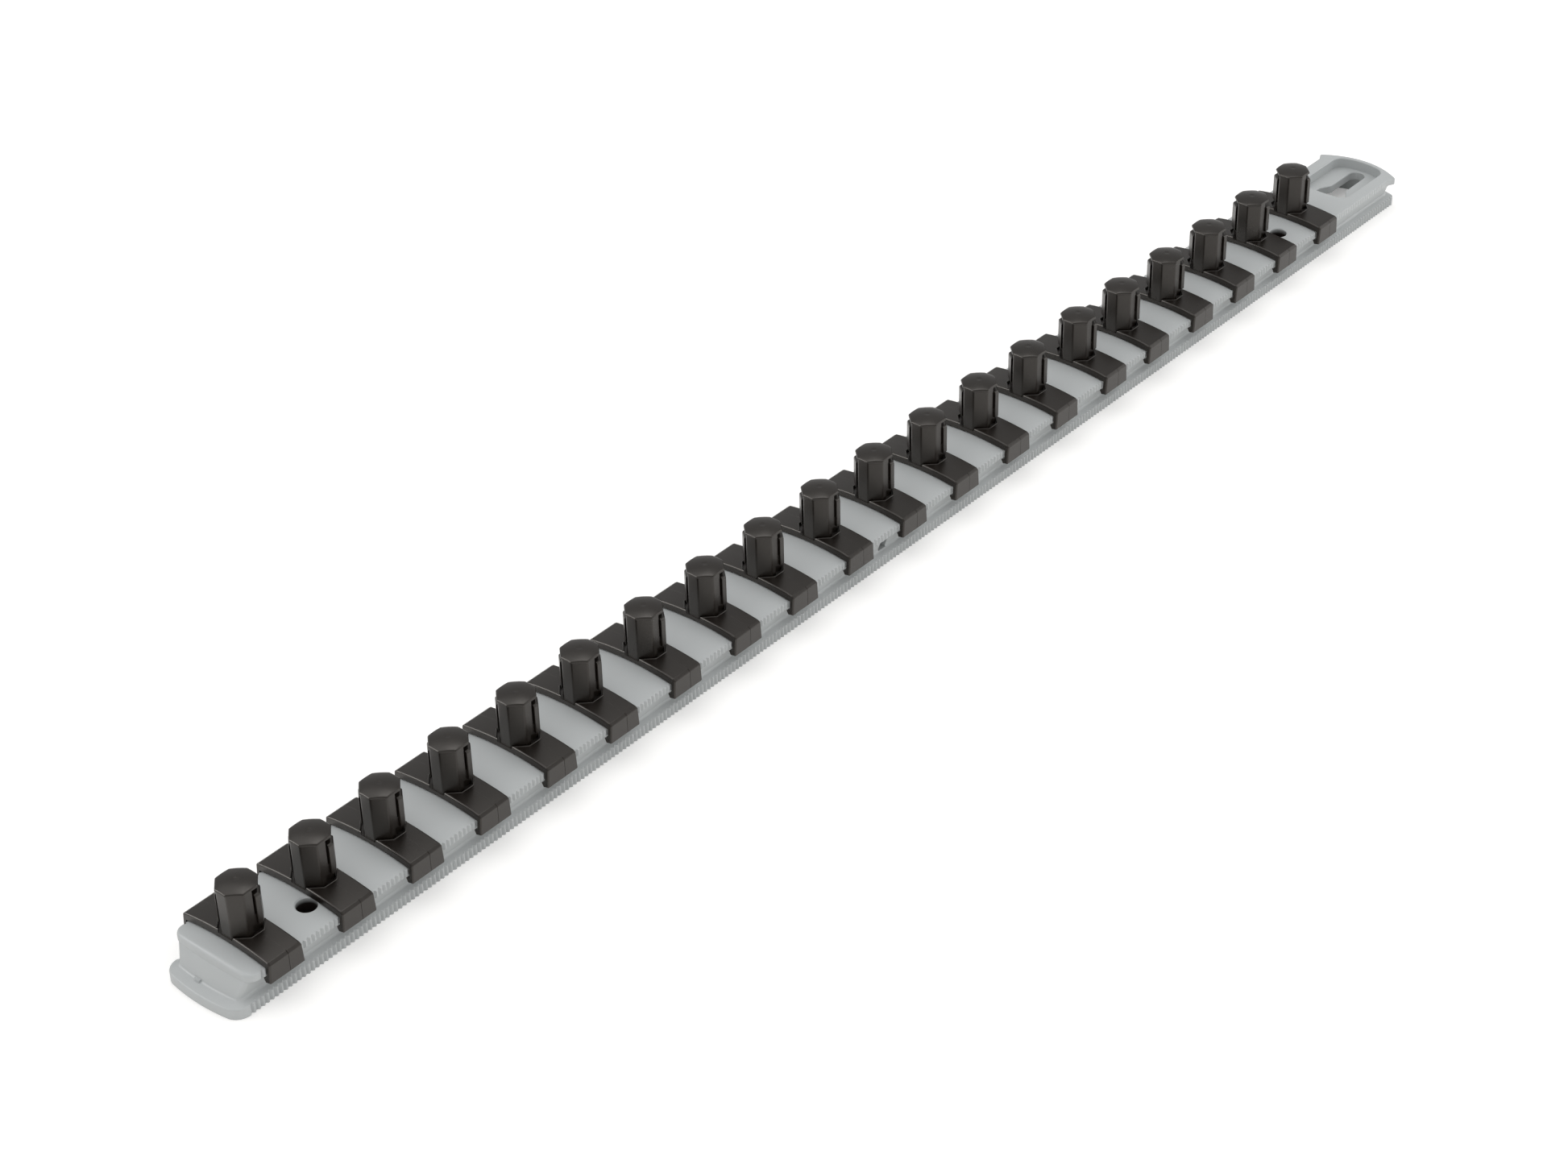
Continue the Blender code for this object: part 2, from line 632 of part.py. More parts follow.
def turned(outline, turn):
    """An outline at the +X, -Y corner, or the same outline after half a turn about the post."""
    return [(-x, -y) for x, y in outline] if turn else outline


def arm_space_mesh(turn):
    """The corner of the post that is cleared for one arm, from the arm's root up to the cap."""
    past_x = CAP_HALF_LENGTH + OVERRUN
    past_y = -CAP_HALF_WIDTH - OVERRUN
    near_x = SLIT_X - SLIT_WIDTH / 2
    near_y = -SLIT_Y + SLIT_WIDTH / 2
    outline = turned([(near_x, past_y), (past_x, past_y), (past_x, near_y), (near_x, near_y)], turn)
    root = CAP_UNDERSIDE - ARM_TOP_GAP - ARM_LENGTH
    return loft_rings("arm_space", [at_height(outline, z) for z in (root, CAP_UNDERSIDE)])


def heel_cut_mesh(turn):
    """The notch in the post below one arm's pad."""
    past_x = CAP_HALF_LENGTH + OVERRUN
    past_y = -CAP_HALF_WIDTH - OVERRUN
    back = HEEL_DEPTH - POST_HALF_WIDTH
    outline = turned([(-HEEL_X, past_y), (past_x, past_y), (past_x, back), (-HEEL_X, back)], turn)
    top = CAP_UNDERSIDE - ARM_TOP_GAP - PAD_LENGTH
    return loft_rings("heel_cut", [at_height(outline, z) for z in (WELL_FLOOR - POST_SINK / 2, top)])


def arm_outline(chamfer, turn):
    """Plan of one arm: the corner of a slightly larger octagon, a slit's width from the post."""
    outer_x = POST_HALF_LENGTH + ARM_STAND - chamfer
    outer_y = POST_HALF_WIDTH + ARM_STAND - chamfer
    inner_x = SLIT_X + SLIT_WIDTH / 2
    inner_y = SLIT_Y + SLIT_WIDTH / 2
    bevel_x = max(outer_x * OCTAGON_FLAT_SHARES[0], inner_x + SLIT_WIDTH)
    bevel_y = max(outer_y * OCTAGON_FLAT_SHARES[1], inner_y + SLIT_WIDTH)
    corners = [(inner_x, -inner_y), (inner_x, -outer_y), (bevel_x, -outer_y), (outer_x, -bevel_y),
               (outer_x, -inner_y)]
    return turned(corners, turn)


def arm_mesh(turn):
    """One sprung arm: it stands proud of the post to grip a socket, and its top is chamfered."""
    top = CAP_UNDERSIDE - ARM_TOP_GAP
    levels = ((0.0, top - PAD_LENGTH), (0.0, top - ARM_CHAMFER_HEIGHT), (ARM_CHAMFER, top))
    return loft_rings("arm", [at_height(arm_outline(chamfer, turn), z) for chamfer, z in levels])


def post_pattern(guides):
    """The post with its two corners cleared and the arms stood in them."""
    post = as_guide(place_mesh("clip_post", post_mesh(), guides))
    for turn in (False, True):
        side = int(turn)
        changes = (
            (f"clip_arm_space_{side}", arm_space_mesh(turn), "DIFFERENCE"),
            (f"clip_heel_cut_{side}", heel_cut_mesh(turn), "DIFFERENCE"),
            (f"clip_arm_{side}", arm_mesh(turn), "UNION"),
        )
        for name, mesh, operation in changes:
            combine(post, as_guide(place_mesh(name, mesh, guides)), operation)
    return post


def clip_pattern(guides):
    """One whole clip at the rail's middle, from which every clip takes its mesh."""
    pattern = as_guide(place_mesh("clip_pattern", saddle_mesh(), guides))
    combine(pattern, as_guide(place_mesh("clip_well", well_mesh(), guides)), "DIFFERENCE")
    combine(pattern, post_pattern(guides), "UNION")
    return pattern


def merge_flat_faces(mesh):
    """Join faces that lie in one plane, and drop points that stand on a straight edge."""
    shape = bmesh.new()
    shape.from_mesh(mesh)
    bmesh.ops.dissolve_limit(shape, angle_limit=FLAT_ANGLE, verts=shape.verts, edges=shape.edges)
    shape.to_mesh(mesh)
    shape.free()


def build_clips(parts, guides, material):
    """Twenty clips along the rail, each an object of its own on one shared mesh."""
    mesh = evaluated_mesh(clip_pattern(guides))
    merge_flat_faces(mesh)
    mesh.name = "clip"
    mesh.materials.clear()
    mesh.materials.append(material)
    for number, shift in zip(range(CLIP_COUNT), CLIP_SHIFT_SHARES):
        clip = place_mesh(f"clip_{number + 1:02d}", mesh, parts)
        clip.location = (NEAR_END + CLIP_FIRST_PLACE + (number + shift) * CLIP_PITCH, 0.0, 0.0)


def build():
    """The whole socket rail."""
    for old in list(bpy.data.objects):
        bpy.data.objects.remove(old)
    parts = new_collection("socket_rail")
    guides = new_collection("socket_rail_cutters")
    build_rail(parts, guides, plastic("grey_plastic", (0.42, 0.45, 0.46), 0.42))
    build_clips(parts, guides, plastic("charcoal_plastic", (0.040, 0.037, 0.035), 0.38))


build()
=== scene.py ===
"""Socket rail on a white stage: one grey moulded rail and twenty charcoal clips that slide on it.

Metres, in the frame's axes: the rail lies along X with its hanging end at +X, and +Z is up.
"""

import math

import bmesh
import bpy
from bpy.props import FloatProperty, FloatVectorProperty, PointerProperty
from mathutils import Matrix, Vector


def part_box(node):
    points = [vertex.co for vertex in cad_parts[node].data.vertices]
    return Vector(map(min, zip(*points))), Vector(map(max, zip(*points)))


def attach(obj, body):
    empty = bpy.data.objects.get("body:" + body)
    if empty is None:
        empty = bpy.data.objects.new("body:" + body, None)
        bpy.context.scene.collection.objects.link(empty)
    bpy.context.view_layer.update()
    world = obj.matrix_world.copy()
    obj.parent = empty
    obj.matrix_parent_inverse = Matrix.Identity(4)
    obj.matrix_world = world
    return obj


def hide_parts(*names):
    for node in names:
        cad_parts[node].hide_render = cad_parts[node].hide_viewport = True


bl_info = {
    "name": "Socket rail",
    "version": (1, 0, 0),
    "blender": (4, 5, 0),
    "location": "View3D > Sidebar > Socket rail",
    "description": "Builds a moulded rail with sliding socket clips, on a white stage",
    "category": "Object",
}

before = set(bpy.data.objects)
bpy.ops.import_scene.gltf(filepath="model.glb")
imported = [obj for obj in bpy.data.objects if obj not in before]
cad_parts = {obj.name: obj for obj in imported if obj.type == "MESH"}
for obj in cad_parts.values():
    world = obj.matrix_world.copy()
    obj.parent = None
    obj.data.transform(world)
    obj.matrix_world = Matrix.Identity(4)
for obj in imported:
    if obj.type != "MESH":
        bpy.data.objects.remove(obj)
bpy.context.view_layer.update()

# Sizes that the frame gives
RAIL_LOW, RAIL_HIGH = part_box("rail")
CLIP_LOW, CLIP_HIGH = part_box("clip_01")
NEAR_END = RAIL_LOW.x
FAR_END = RAIL_HIGH.x
CLIP_NAMES = sorted(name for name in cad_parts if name.startswith("clip_"))
CLIP_HALF_LENGTH = (CLIP_HIGH.x - CLIP_LOW.x) / 2
CLIP_HALF_WIDTH = (CLIP_HIGH.y - CLIP_LOW.y) / 2
CLIP_TOP = CLIP_HIGH.z

# Rail: flange and neck
FLANGE_HALF_WIDTH = 0.01145
FLANGE_HEIGHT = 0.00265
FLANGE_NEAR_BOW = 0.0013
FLANGE_NEAR_CORNER = 0.0030
FLANGE_FAR_BOW = 0.0022
FLANGE_FAR_CORNER = 0.0012
LEDGE_SLOPE = 0.276
NECK_FOOT_HALF_WIDTH = 0.0093
NECK_TOP_HALF_WIDTH = 0.0107
NECK_CORNER = 0.0008
NECK_NEAR_INSET = 0.0029
NECK_FAR_INSET = 0.0009
NECK_FAR_BOW = 0.0027

# Rail: head
HEAD_HALF_WIDTH = 0.0120
HEAD_EDGE_HEIGHT = 0.0095
HEAD_CROWN = 0.0009
LIP_HEIGHT = 0.0078
LIP_SLOPE = 0.46
LIP_UNDER_ROUND = 0.00015
HEAD_NEAR_INSET = 0.0045
HEAD_NEAR_BOW = 0.0007
HEAD_NEAR_CORNER = 0.0024

# Rail: hanging plate, pocket and keyhole
PLATE_START = FAR_END - 0.0354
PLATE_HALF_WIDTH = 0.0115
PLATE_HEIGHT = 0.0096
PLATE_TIP = FAR_END - 0.0004
PLATE_BOW = 0.0041
EAR_HALF_WIDTH = 0.0126
EAR_LENGTH = 0.0026
EAR_CORNER = 0.0005
POCKET_HALF_WIDTH = 0.0078
POCKET_LENGTH = 0.0231
POCKET_DEPTH = 0.0030
POCKET_CORNER = 0.0025
POCKET_END = PLATE_TIP - 0.0013
POCKET_NEAR_BOW = 0.0006
POCKET_FLOOR = 0.0024
KEYHOLE_LENGTH = 0.0191
KEYHOLE_HALF_WIDTH = 0.0045
SLOT_HALF_WIDTH = 0.0024
SLOT_END = POCKET_END - 0.0009
# Keyhole outline before its slot: distance as a share of its length, half width as a share of its widest
KEYHOLE_SHARES = ((0.0, 0.0), (0.004, 0.25), (0.015, 0.45), (0.035, 0.68), (0.06, 0.84), (0.09, 0.94),
                  (0.125, 1.0), (0.19, 0.96), (0.26, 0.80), (0.32, 0.65), (0.38, 0.55))

# Rail: screw holes, window and hollow underside
SCREW_PLACES = ((NEAR_END + 0.0279, -0.0044), (FAR_END - 0.0544, -0.0044))
SCREW_SEAT_RADIUS = 0.0024
SCREW_BORE_RADIUS = 0.0016
SCREW_SEAT_DEPTH = 0.0042
SCREW_BOSS_RADIUS = 0.0040
BOSS_FOOT_GAP = 0.0003
WINDOW_PLACE = NEAR_END + 0.2147
WINDOW_WIDTH = 0.0027
WINDOW_HEIGHT = 0.0031
WINDOW_SILL = FLANGE_HEIGHT + 0.0006
NECK_WALL = 0.0020
HEAD_WALL = 0.0021
CORE_DRAFT = 0.0003
RIB_THICKNESS = 0.0015
CORE_CELLS = 10

# Rail: raised gate mark on the near ledge
GATE_PLACE = (NEAR_END + 0.0027, 0.0022)
GATE_HALF_SIZE = (0.0006, 0.0008)
GATE_CORNER = 0.0003
GATE_RISE = 0.0003

# Clip: saddle and hooks
CLIP_CLEARANCE = 0.0003
SADDLE_WALL = 0.00155
SADDLE_CROWN = 0.00105
SKIRT_FOOT = LIP_HEIGHT - 0.0018
SKIRT_FOOT_ROUND = 0.0004
HOOK_REACH = 0.00095
HOOK_GAP = 0.0005
HOOK_BACK = 0.0006
SADDLE_SEAT = HEAD_EDGE_HEIGHT + CLIP_CLEARANCE
SADDLE_EDGE_HEIGHT = SADDLE_SEAT + SADDLE_WALL
SADDLE_TOP = SADDLE_EDGE_HEIGHT + SADDLE_CROWN
WELL_FLOOR = SADDLE_TOP - 0.0008
WELL_HALF_LENGTH = 0.00455
WELL_HALF_WIDTH = 0.0049
WELL_FLAT_SHARES = (0.36, 0.43)
# Rings of the well's rim as shares of its flare: how far out, and how far below the saddle's top
WELL_RIM_SHARES = ((0.0, 0.5), (0.4, 0.18), (1.0, 0.0), (2.0, -0.1))
BEAD_SUNK_SHARE = 0.45
# The mould's parting line: its place, and its depth on the saddle's top and skirts as shares of its width
PARTING_PLACE = 0.0007
PARTING_TOP_SHARE = 0.05
PARTING_SKIRT_SHARE = 0.9

# Clip: post, cap and sprung arms; the post stands a little off the saddle's middle
POST_PLACE = (0.0001, -0.00027, 0.0)
POST_HALF_LENGTH = 0.00435
POST_HALF_WIDTH = 0.00425
POST_HEIGHT = 0.0102
CAP_HALF_LENGTH = 0.0046
CAP_HALF_WIDTH = 0.00438
CAP_UNDERSIDE = SADDLE_TOP + POST_HEIGHT
CAP_POINT_SPACING = 0.0006
# Radii of the cap's corners and of its lower edge, as shares of its upper edge's
CAP_CORNER_SHARE = 1.5
CAP_UNDER_SHARE = 0.4
OCTAGON_FLAT_SHARES = (0.425, 0.36)
# Rings of the cap's dome as shares of its rim; the last two stand round the gate mark
CAP_SHARES = (0.9, 0.78, 0.64, 0.5, 0.36, 0.24, 0.13, 0.11)
GATE_MARK_DEPTH = 0.00003
SLIT_X = 0.0005
SLIT_Y = 0.00205
SLIT_X_WIDTH = 0.00036
SLIT_Y_WIDTH = 0.0006
SLIT_LENGTH = 0.0050
ARM_TOP_GAP = 0.0008
ARM_HALF_LENGTH = 0.00472
ARM_HALF_WIDTH = 0.00478
ARM_HEIGHT = 0.0076
NOTCH_DEPTH = 0.0008
NOTCH_START = -0.0006

# The two plastics: index of refraction and tint of their gloss, and how far their colour varies
WHITE = (1.0, 1.0, 1.0, 1.0)
RAIL_SHEEN = (1.46, WHITE)
CLIP_SHEEN = (1.56, (1.0, 0.95, 0.90, 1.0))
RAIL_CONTRAST = 0.05
CLIP_CONTRAST = 0.50

# Their moulded surface: its clouds, streaks along the rail, and specks some grains wide, and how much
# these and the grain show in the colour, in the gloss and as relief
CLOUD_SIZE = 0.022
STREAK_SIZE = 0.004
STREAK_SCALE = (0.25, 1.0, 1.0)
SPECK_GRAINS = 3
CLOUD_TONE = 0.5
STREAK_TONE = 0.3
GRAIN_TONE = 0.2
SPECK_GLOSS = 0.10
CLOUD_GLOSS = 0.12
RELIEF_STRENGTH = 0.10
RELIEF_GRAINS = 0.25

# Painted shade in the screw holes, darker with depth: how far out it reaches, how deep it starts and how much
# deeper it is full
HOLE_SHADE_COLOUR = (0.018, 0.013, 0.011, 1.0)
HOLE_SHADE_RADIUS = SCREW_SEAT_RADIUS * 1.02
HOLE_SHADE_START = 0.0003
HOLE_SHADE_FADE = 0.0012

# Cuts run past the faces they open by this much, and joined solids sink into each other by it
OVERRUN = 0.0005
ABOVE_RAIL = HEAD_EDGE_HEIGHT + HEAD_CROWN + OVERRUN

# Points closer than this are merged, and edges that turn by more than this stay sharp
WELD = 0.000001
SHARP_ANGLE = math.radians(32)

# A rounded corner takes at most this share of either side, a fillet this share of the ledge, and an
# inset corner moves by at most this many times the inset
CORNER_SIDE_SHARE = 0.45
FILLET_LEDGE_SHARE = 0.7
MITRE_LIMIT = 2

# Grooves between teeth, as shares of their depth: at the foot, and how far the sides run past the edge
GROOVE_FOOT_SHARE = 0.75
GROOVE_MOUTH_SHARE = 0.05
# The plate's teeth are this many times fainter than the lips'
PLATE_FAINTNESS = 3

# Numbers of steps along the long sides and in what is round
RAIL_STEPS = 48
PLATE_STEPS = 4
BOW_STEPS = 12
CORNER_STEPS = 8
ROUND_STEPS = 5
HEAD_ROUND_STEPS = 7
CROWN_STEPS = 16
CIRCLE_STEPS = 48
BEAD_STEPS = 12

# The photograph's camera: where it stands, how it is turned in degrees, and its lens
CAMERA_PLACE = (-0.522173, -0.414887, 0.441679)
CAMERA_TURN = (55.4195, 1.1095, -50.1060)
CAMERA_LENS = 73.264
CAMERA_SHIFT = (0.00017, -0.00231)
CAMERA_CLIP = (0.01, 50.0)

# Floor and lamps: the place and size of each lamp, which faces the middle of the rail
FLOOR_COLOUR = (0.965, 0.955, 0.940, 1.0)
OVERHEAD_LAMP = ((-0.3, 0.5, 1.5), (1.6, 1.2))
SIDE_LAMP = ((1.1, -0.9, 0.6), (1.2, 0.9))
EDGE_SHEEN_LAMP = ((-1.0, 0.95, 0.75), (1.1, 0.6))
BEAD_SHEEN_LAMP = ((0.35, -0.05, 1.5), (1.1, 0.6))
# Power of the sheen lamp for the beads beside that of the lamp for the wings' edges
BEAD_SHEEN_SHARE = 0.35


class RailSizes(bpy.types.PropertyGroup):
    """Sizes of the rail's moulded detail"""

    tooth_pitch: FloatProperty(name="Tooth pitch", description="From one tooth to the next along an edge",
                               default=0.00127, min=0.0004, unit="LENGTH", precision=5)
    tooth_depth: FloatProperty(name="Tooth depth", description="How deep the grooves between teeth are",
                               default=0.00055, min=0.0, unit="LENGTH", precision=5)
    tooth_land: FloatProperty(name="Tooth land", description="Width left on top of a tooth",
                              default=0.0002, min=0.0, unit="LENGTH", precision=5)
    groove_floor: FloatProperty(name="Groove floor", description="Width of the bottom of a groove",
                                default=0.0002, min=0.0, unit="LENGTH", precision=5)
    lip_round: FloatProperty(name="Lip rounding", description="Radius along the head's upper edges",
                             default=0.00022, unit="LENGTH", precision=5)
    near_round: FloatProperty(name="Near rim rounding", description="Radius of the head's near rim",
                              default=0.0008, unit="LENGTH", precision=5)
    flange_round: FloatProperty(name="Flange rounding", description="Radius of the flange's upper edge",
                                default=0.0004, unit="LENGTH", precision=5)
    fillet: FloatProperty(name="Neck fillet", description="Radius in the corner of ledge and neck",
                          default=0.0008, unit="LENGTH", precision=5)
    plate_round: FloatProperty(name="Plate rounding", description="Radius of the hanging plate's rim",
                               default=0.0003, unit="LENGTH", precision=5)
    rim_flare: FloatProperty(name="Hole rims", description="Rounding at the mouths of holes and pocket",
                             default=0.0002, unit="LENGTH", precision=5)


class ClipSizes(bpy.types.PropertyGroup):
    """Sizes of a clip's moulded detail"""

    shoulder_width: FloatProperty(name="Shoulder width", description="Width of the band above each skirt",
                                  default=0.0007, unit="LENGTH", precision=5)
    shoulder_drop: FloatProperty(name="Shoulder drop", description="Height of the band above each skirt",
                                 default=0.0005, unit="LENGTH", precision=5)
    shoulder_round: FloatProperty(name="Shoulder rounding", description="Radius at both edges of the band",
                                  default=0.0003, unit="LENGTH", precision=5)
    end_round: FloatProperty(name="End rounding", description="Radius along the saddle's two ends",
                             default=0.00042, unit="LENGTH", precision=5)
    bead_radius: FloatProperty(name="Bead", description="Radius of the fine bead along the well's rim",
                               default=0.00022, unit="LENGTH", precision=5)
    end_draft: FloatProperty(name="End draft", description="How much the saddle's ends lean in with height",
                             default=0.075, min=0.0, max=0.2)
    well_flare: FloatProperty(name="Well rim", description="How far the well's rim is rounded outwards",
                              default=0.0002, unit="LENGTH", precision=5)
    post_corner: FloatProperty(name="Post corners", description="Radius of the octagon's corners",
                               default=0.0008, unit="LENGTH", precision=5)
    cap_rim: FloatProperty(name="Cap rim", description="Height of the cap's upright rim",
                           default=0.0005, unit="LENGTH", precision=5)
    cap_dome: FloatProperty(name="Cap dome", description="Height of the cap's dome above its rim",
                            default=0.0008, unit="LENGTH", precision=5)
    cap_round: FloatProperty(name="Cap rounding", description="Radius of the cap's upper edge",
                             default=0.0003, unit="LENGTH", precision=5)
    arm_round: FloatProperty(name="Arm tops", description="Radius at the top of the sprung arms",
                             default=0.0007, unit="LENGTH", precision=5)
    parting_width: FloatProperty(name="Parting line", description="Width of the mould's parting line",
                                 default=0.00012, unit="LENGTH", precision=5)


class Finish(bpy.types.PropertyGroup):
    """Colours and surface of the two plastics"""

    rail_colour: FloatVectorProperty(name="Rail", description="Colour of the grey plastic", subtype="COLOR",
                                     size=3, default=(0.468, 0.486, 0.487), min=0.0, max=1.0)
    clip_colour: FloatVectorProperty(name="Clips", description="Colour of the charcoal plastic",
                                     subtype="COLOR", size=3, default=(0.0088, 0.0066, 0.0050), min=0.0,
                                     max=1.0)
    rail_roughness: FloatProperty(name="Rail roughness", description="0 is a mirror, 1 is matt",
                                  default=0.42, min=0.0, max=1.0, subtype="FACTOR")
    clip_roughness: FloatProperty(name="Clip roughness", description="0 is a mirror, 1 is matt",
                                  default=0.31, min=0.0, max=1.0, subtype="FACTOR")
    grain: FloatProperty(name="Grain", description="Size of the plastics' moulded grain",
                         default=0.0002, unit="LENGTH", precision=5)


class Stage(bpy.types.PropertyGroup):
    """Light and floor"""

    floor_size: FloatProperty(name="Floor", description="Side of the floor", default=8.0, unit="LENGTH")
    sky: FloatProperty(name="Sky", description="Brightness of the even light all round", default=0.78,
                       min=0.0)
    gloss_sky: FloatProperty(name="Sky in gloss", description="Brightness of the sky as the gloss shows it",
                             default=0.50, min=0.0)
    key_power: FloatProperty(name="Overhead lamp", description="Power of the large lamp above", default=5.0,
                             min=0.0, unit="POWER")
    side_power: FloatProperty(name="Side lamp", description="Power of the soft lamp beside the far end",
                              default=5.0, min=0.0, unit="POWER")
    sheen_power: FloatProperty(name="Sheen lamps", description="Power of the lamps that only show in gloss",
                               default=12.0, min=0.0, unit="POWER")
    floor_glow: FloatProperty(name="Floor glow", description="Light of its own that the floor shows",
                              default=0.215, min=0.0, max=1.0)


class Work(bpy.types.PropertyGroup):
    """Everything that the panel shows"""

    rail: PointerProperty(type=RailSizes)
    clip: PointerProperty(type=ClipSizes)
    finish: PointerProperty(type=Finish)
    stage: PointerProperty(type=Stage)


class Term:
    """One output socket of a node tree, so that maths on it can be written as Python expressions."""

    def __init__(self, board, socket):
        self.board = board
        self.socket = socket

    def __add__(self, other):
        return self.board.maths("ADD", self, other)

    def __sub__(self, other):
        return self.board.maths("SUBTRACT", self, other)

    def __rsub__(self, other):
        return self.board.maths("SUBTRACT", other, self)

    def __mul__(self, other):
        return self.board.maths("MULTIPLY", self, other)

    def __truediv__(self, other):
        return self.board.maths("DIVIDE", self, other)

    __radd__ = __add__
    __rmul__ = __mul__


class Board:
    """A node tree in work."""

    def __init__(self, tree):
        self.tree = tree

    def add(self, kind, settings=None, inputs=None, output=0):
        """A new node: its settings first, then its sockets by name or number. Gives one output."""
        node = self.tree.nodes.new(kind)
        for name, value in (settings or {}).items():
            setattr(node, name, value)
        for key, value in (inputs or {}).items():
            socket = self.find(node.inputs, key)
            if isinstance(value, Term):
                self.tree.links.new(value.socket, socket)
            else:
                socket.default_value = value
        return None if output is None else Term(self, self.find(node.outputs, output))

    def find(self, sockets, key):
        """A socket by its number, its identifier or its name."""
        if isinstance(key, int):
            return sockets[key]
        for socket in sockets:
            if socket.identifier == key:
                return socket
        return sockets[key]

    def maths(self, operation, *values):
        """One Math node on terms and plain numbers."""
        return self.add("ShaderNodeMath", {"operation": operation}, dict(enumerate(values)))

    def mix(self, share, first, second):
        """A colour mixed from two colours."""
        settings = {"data_type": "RGBA", "clamp_factor": True}
        inputs = {"Factor_Float": share, "A_Color": first, "B_Color": second}
        return self.add("ShaderNodeMix", settings, inputs, "Result_Color")

    def noise(self, place, size, detail, roughness):
        """Noise from 0 to 1 whose grains are about as large as size."""
        inputs = {"Vector": place, "Scale": 1.0 / size, "Detail": detail, "Roughness": roughness}
        return self.add("ShaderNodeTexNoise", {}, inputs, "Fac")


def new_board(name):
    """A new material with an empty node tree, and the tree's board."""
    material = bpy.data.materials.new(name)
    material.use_nodes = True
    board = Board(material.node_tree)
    material.node_tree.nodes.clear()
    return material, board


def scaled(colour, factor):
    """A colour made lighter or darker."""
    return (colour[0] * factor, colour[1] * factor, colour[2] * factor, 1.0)


def painted_hole_shade(board, place):
    """Share of painted shade from 0 to 1: deep inside the two screw holes, where shade falls."""
    flat = board.add("ShaderNodeVectorMath", {"operation": "MULTIPLY"}, {0: place, 1: (1.0, 1.0, 0.0)})
    height = board.add("ShaderNodeSeparateXYZ", {}, {"Vector": place}, "Z")
    inside = 0.0
    for x, y in SCREW_PLACES:
        away = board.add("ShaderNodeVectorMath", {"operation": "DISTANCE"}, {0: flat, 1: (x, y, 0.0)},
                         "Value")
        inside = board.maths("LESS_THAN", away, HOLE_SHADE_RADIUS) + inside
    depth = (crown_at(SCREW_PLACES[0][1]) - HOLE_SHADE_START - height) / HOLE_SHADE_FADE
    return inside * board.maths("MINIMUM", board.maths("MAXIMUM", depth, 0.0), 1.0)


def moulded_plastic(name, colour, roughness, grain, contrast, sheen, painted_shade=None):
    """Moulded plastic: faint clouding, a fine grain in the gloss and a shallow orange-peel bump."""
    material, board = new_board(name)
    place = board.add("ShaderNodeTexCoord", output="Object")
    clouds = board.noise(place, CLOUD_SIZE, detail=3.0, roughness=0.55)
    flow = board.add("ShaderNodeMapping", {}, {"Vector": place, "Scale": STREAK_SCALE})
    streaks = board.noise(flow, STREAK_SIZE, detail=3.0, roughness=0.6)
    fine = board.noise(place, grain, detail=2.0, roughness=0.6)
    speck = board.noise(place, grain * SPECK_GRAINS, detail=1.0, roughness=0.5)
    tone = clouds * CLOUD_TONE + streaks * STREAK_TONE + fine * GRAIN_TONE
    dark = scaled(colour, 1.0 - contrast)
    light = scaled(colour, 1.0 + contrast)
    shade = board.mix(tone, dark, light)
    # Painted shade: the screw holes' walls are darkened with depth, standing in for the shade deep inside
    # them
    if painted_shade:
        shade = board.mix(painted_shade(board, place), shade, HOLE_SHADE_COLOUR)
    gloss = (speck - 0.5) * SPECK_GLOSS + (clouds - 0.5) * CLOUD_GLOSS + roughness
    relief = fine * 0.5 + speck * 0.5
    normal = board.add("ShaderNodeBump", {}, {"Strength": RELIEF_STRENGTH, "Distance": grain * RELIEF_GRAINS,
                                             "Height": relief})
    index, tint = sheen
    surface = {"Base Color": shade, "Roughness": gloss, "Normal": normal, "IOR": index, "Specular Tint": tint}
    shader = board.add("ShaderNodeBsdfPrincipled", {}, surface)
    board.add("ShaderNodeOutputMaterial", {}, {"Surface": shader}, output=None)
    return material


def floor_white(glow):
    """White floor that takes a soft shadow, and glows a little to the camera and in reflections."""
    material, board = new_board("floor_white")
    paper = board.add("ShaderNodeBsdfDiffuse", {}, {"Color": FLOOR_COLOUR})
    seen = board.add("ShaderNodeLightPath", output="Is Camera Ray")
    in_gloss = board.add("ShaderNodeLightPath", output="Is Glossy Ray")
    light = board.add("ShaderNodeEmission", {}, {"Color": (seen + in_gloss) * glow})
    shader = board.add("ShaderNodeAddShader", {}, {0: paper, 1: light})
    board.add("ShaderNodeOutputMaterial", {}, {"Surface": shader}, output=None)
    return material


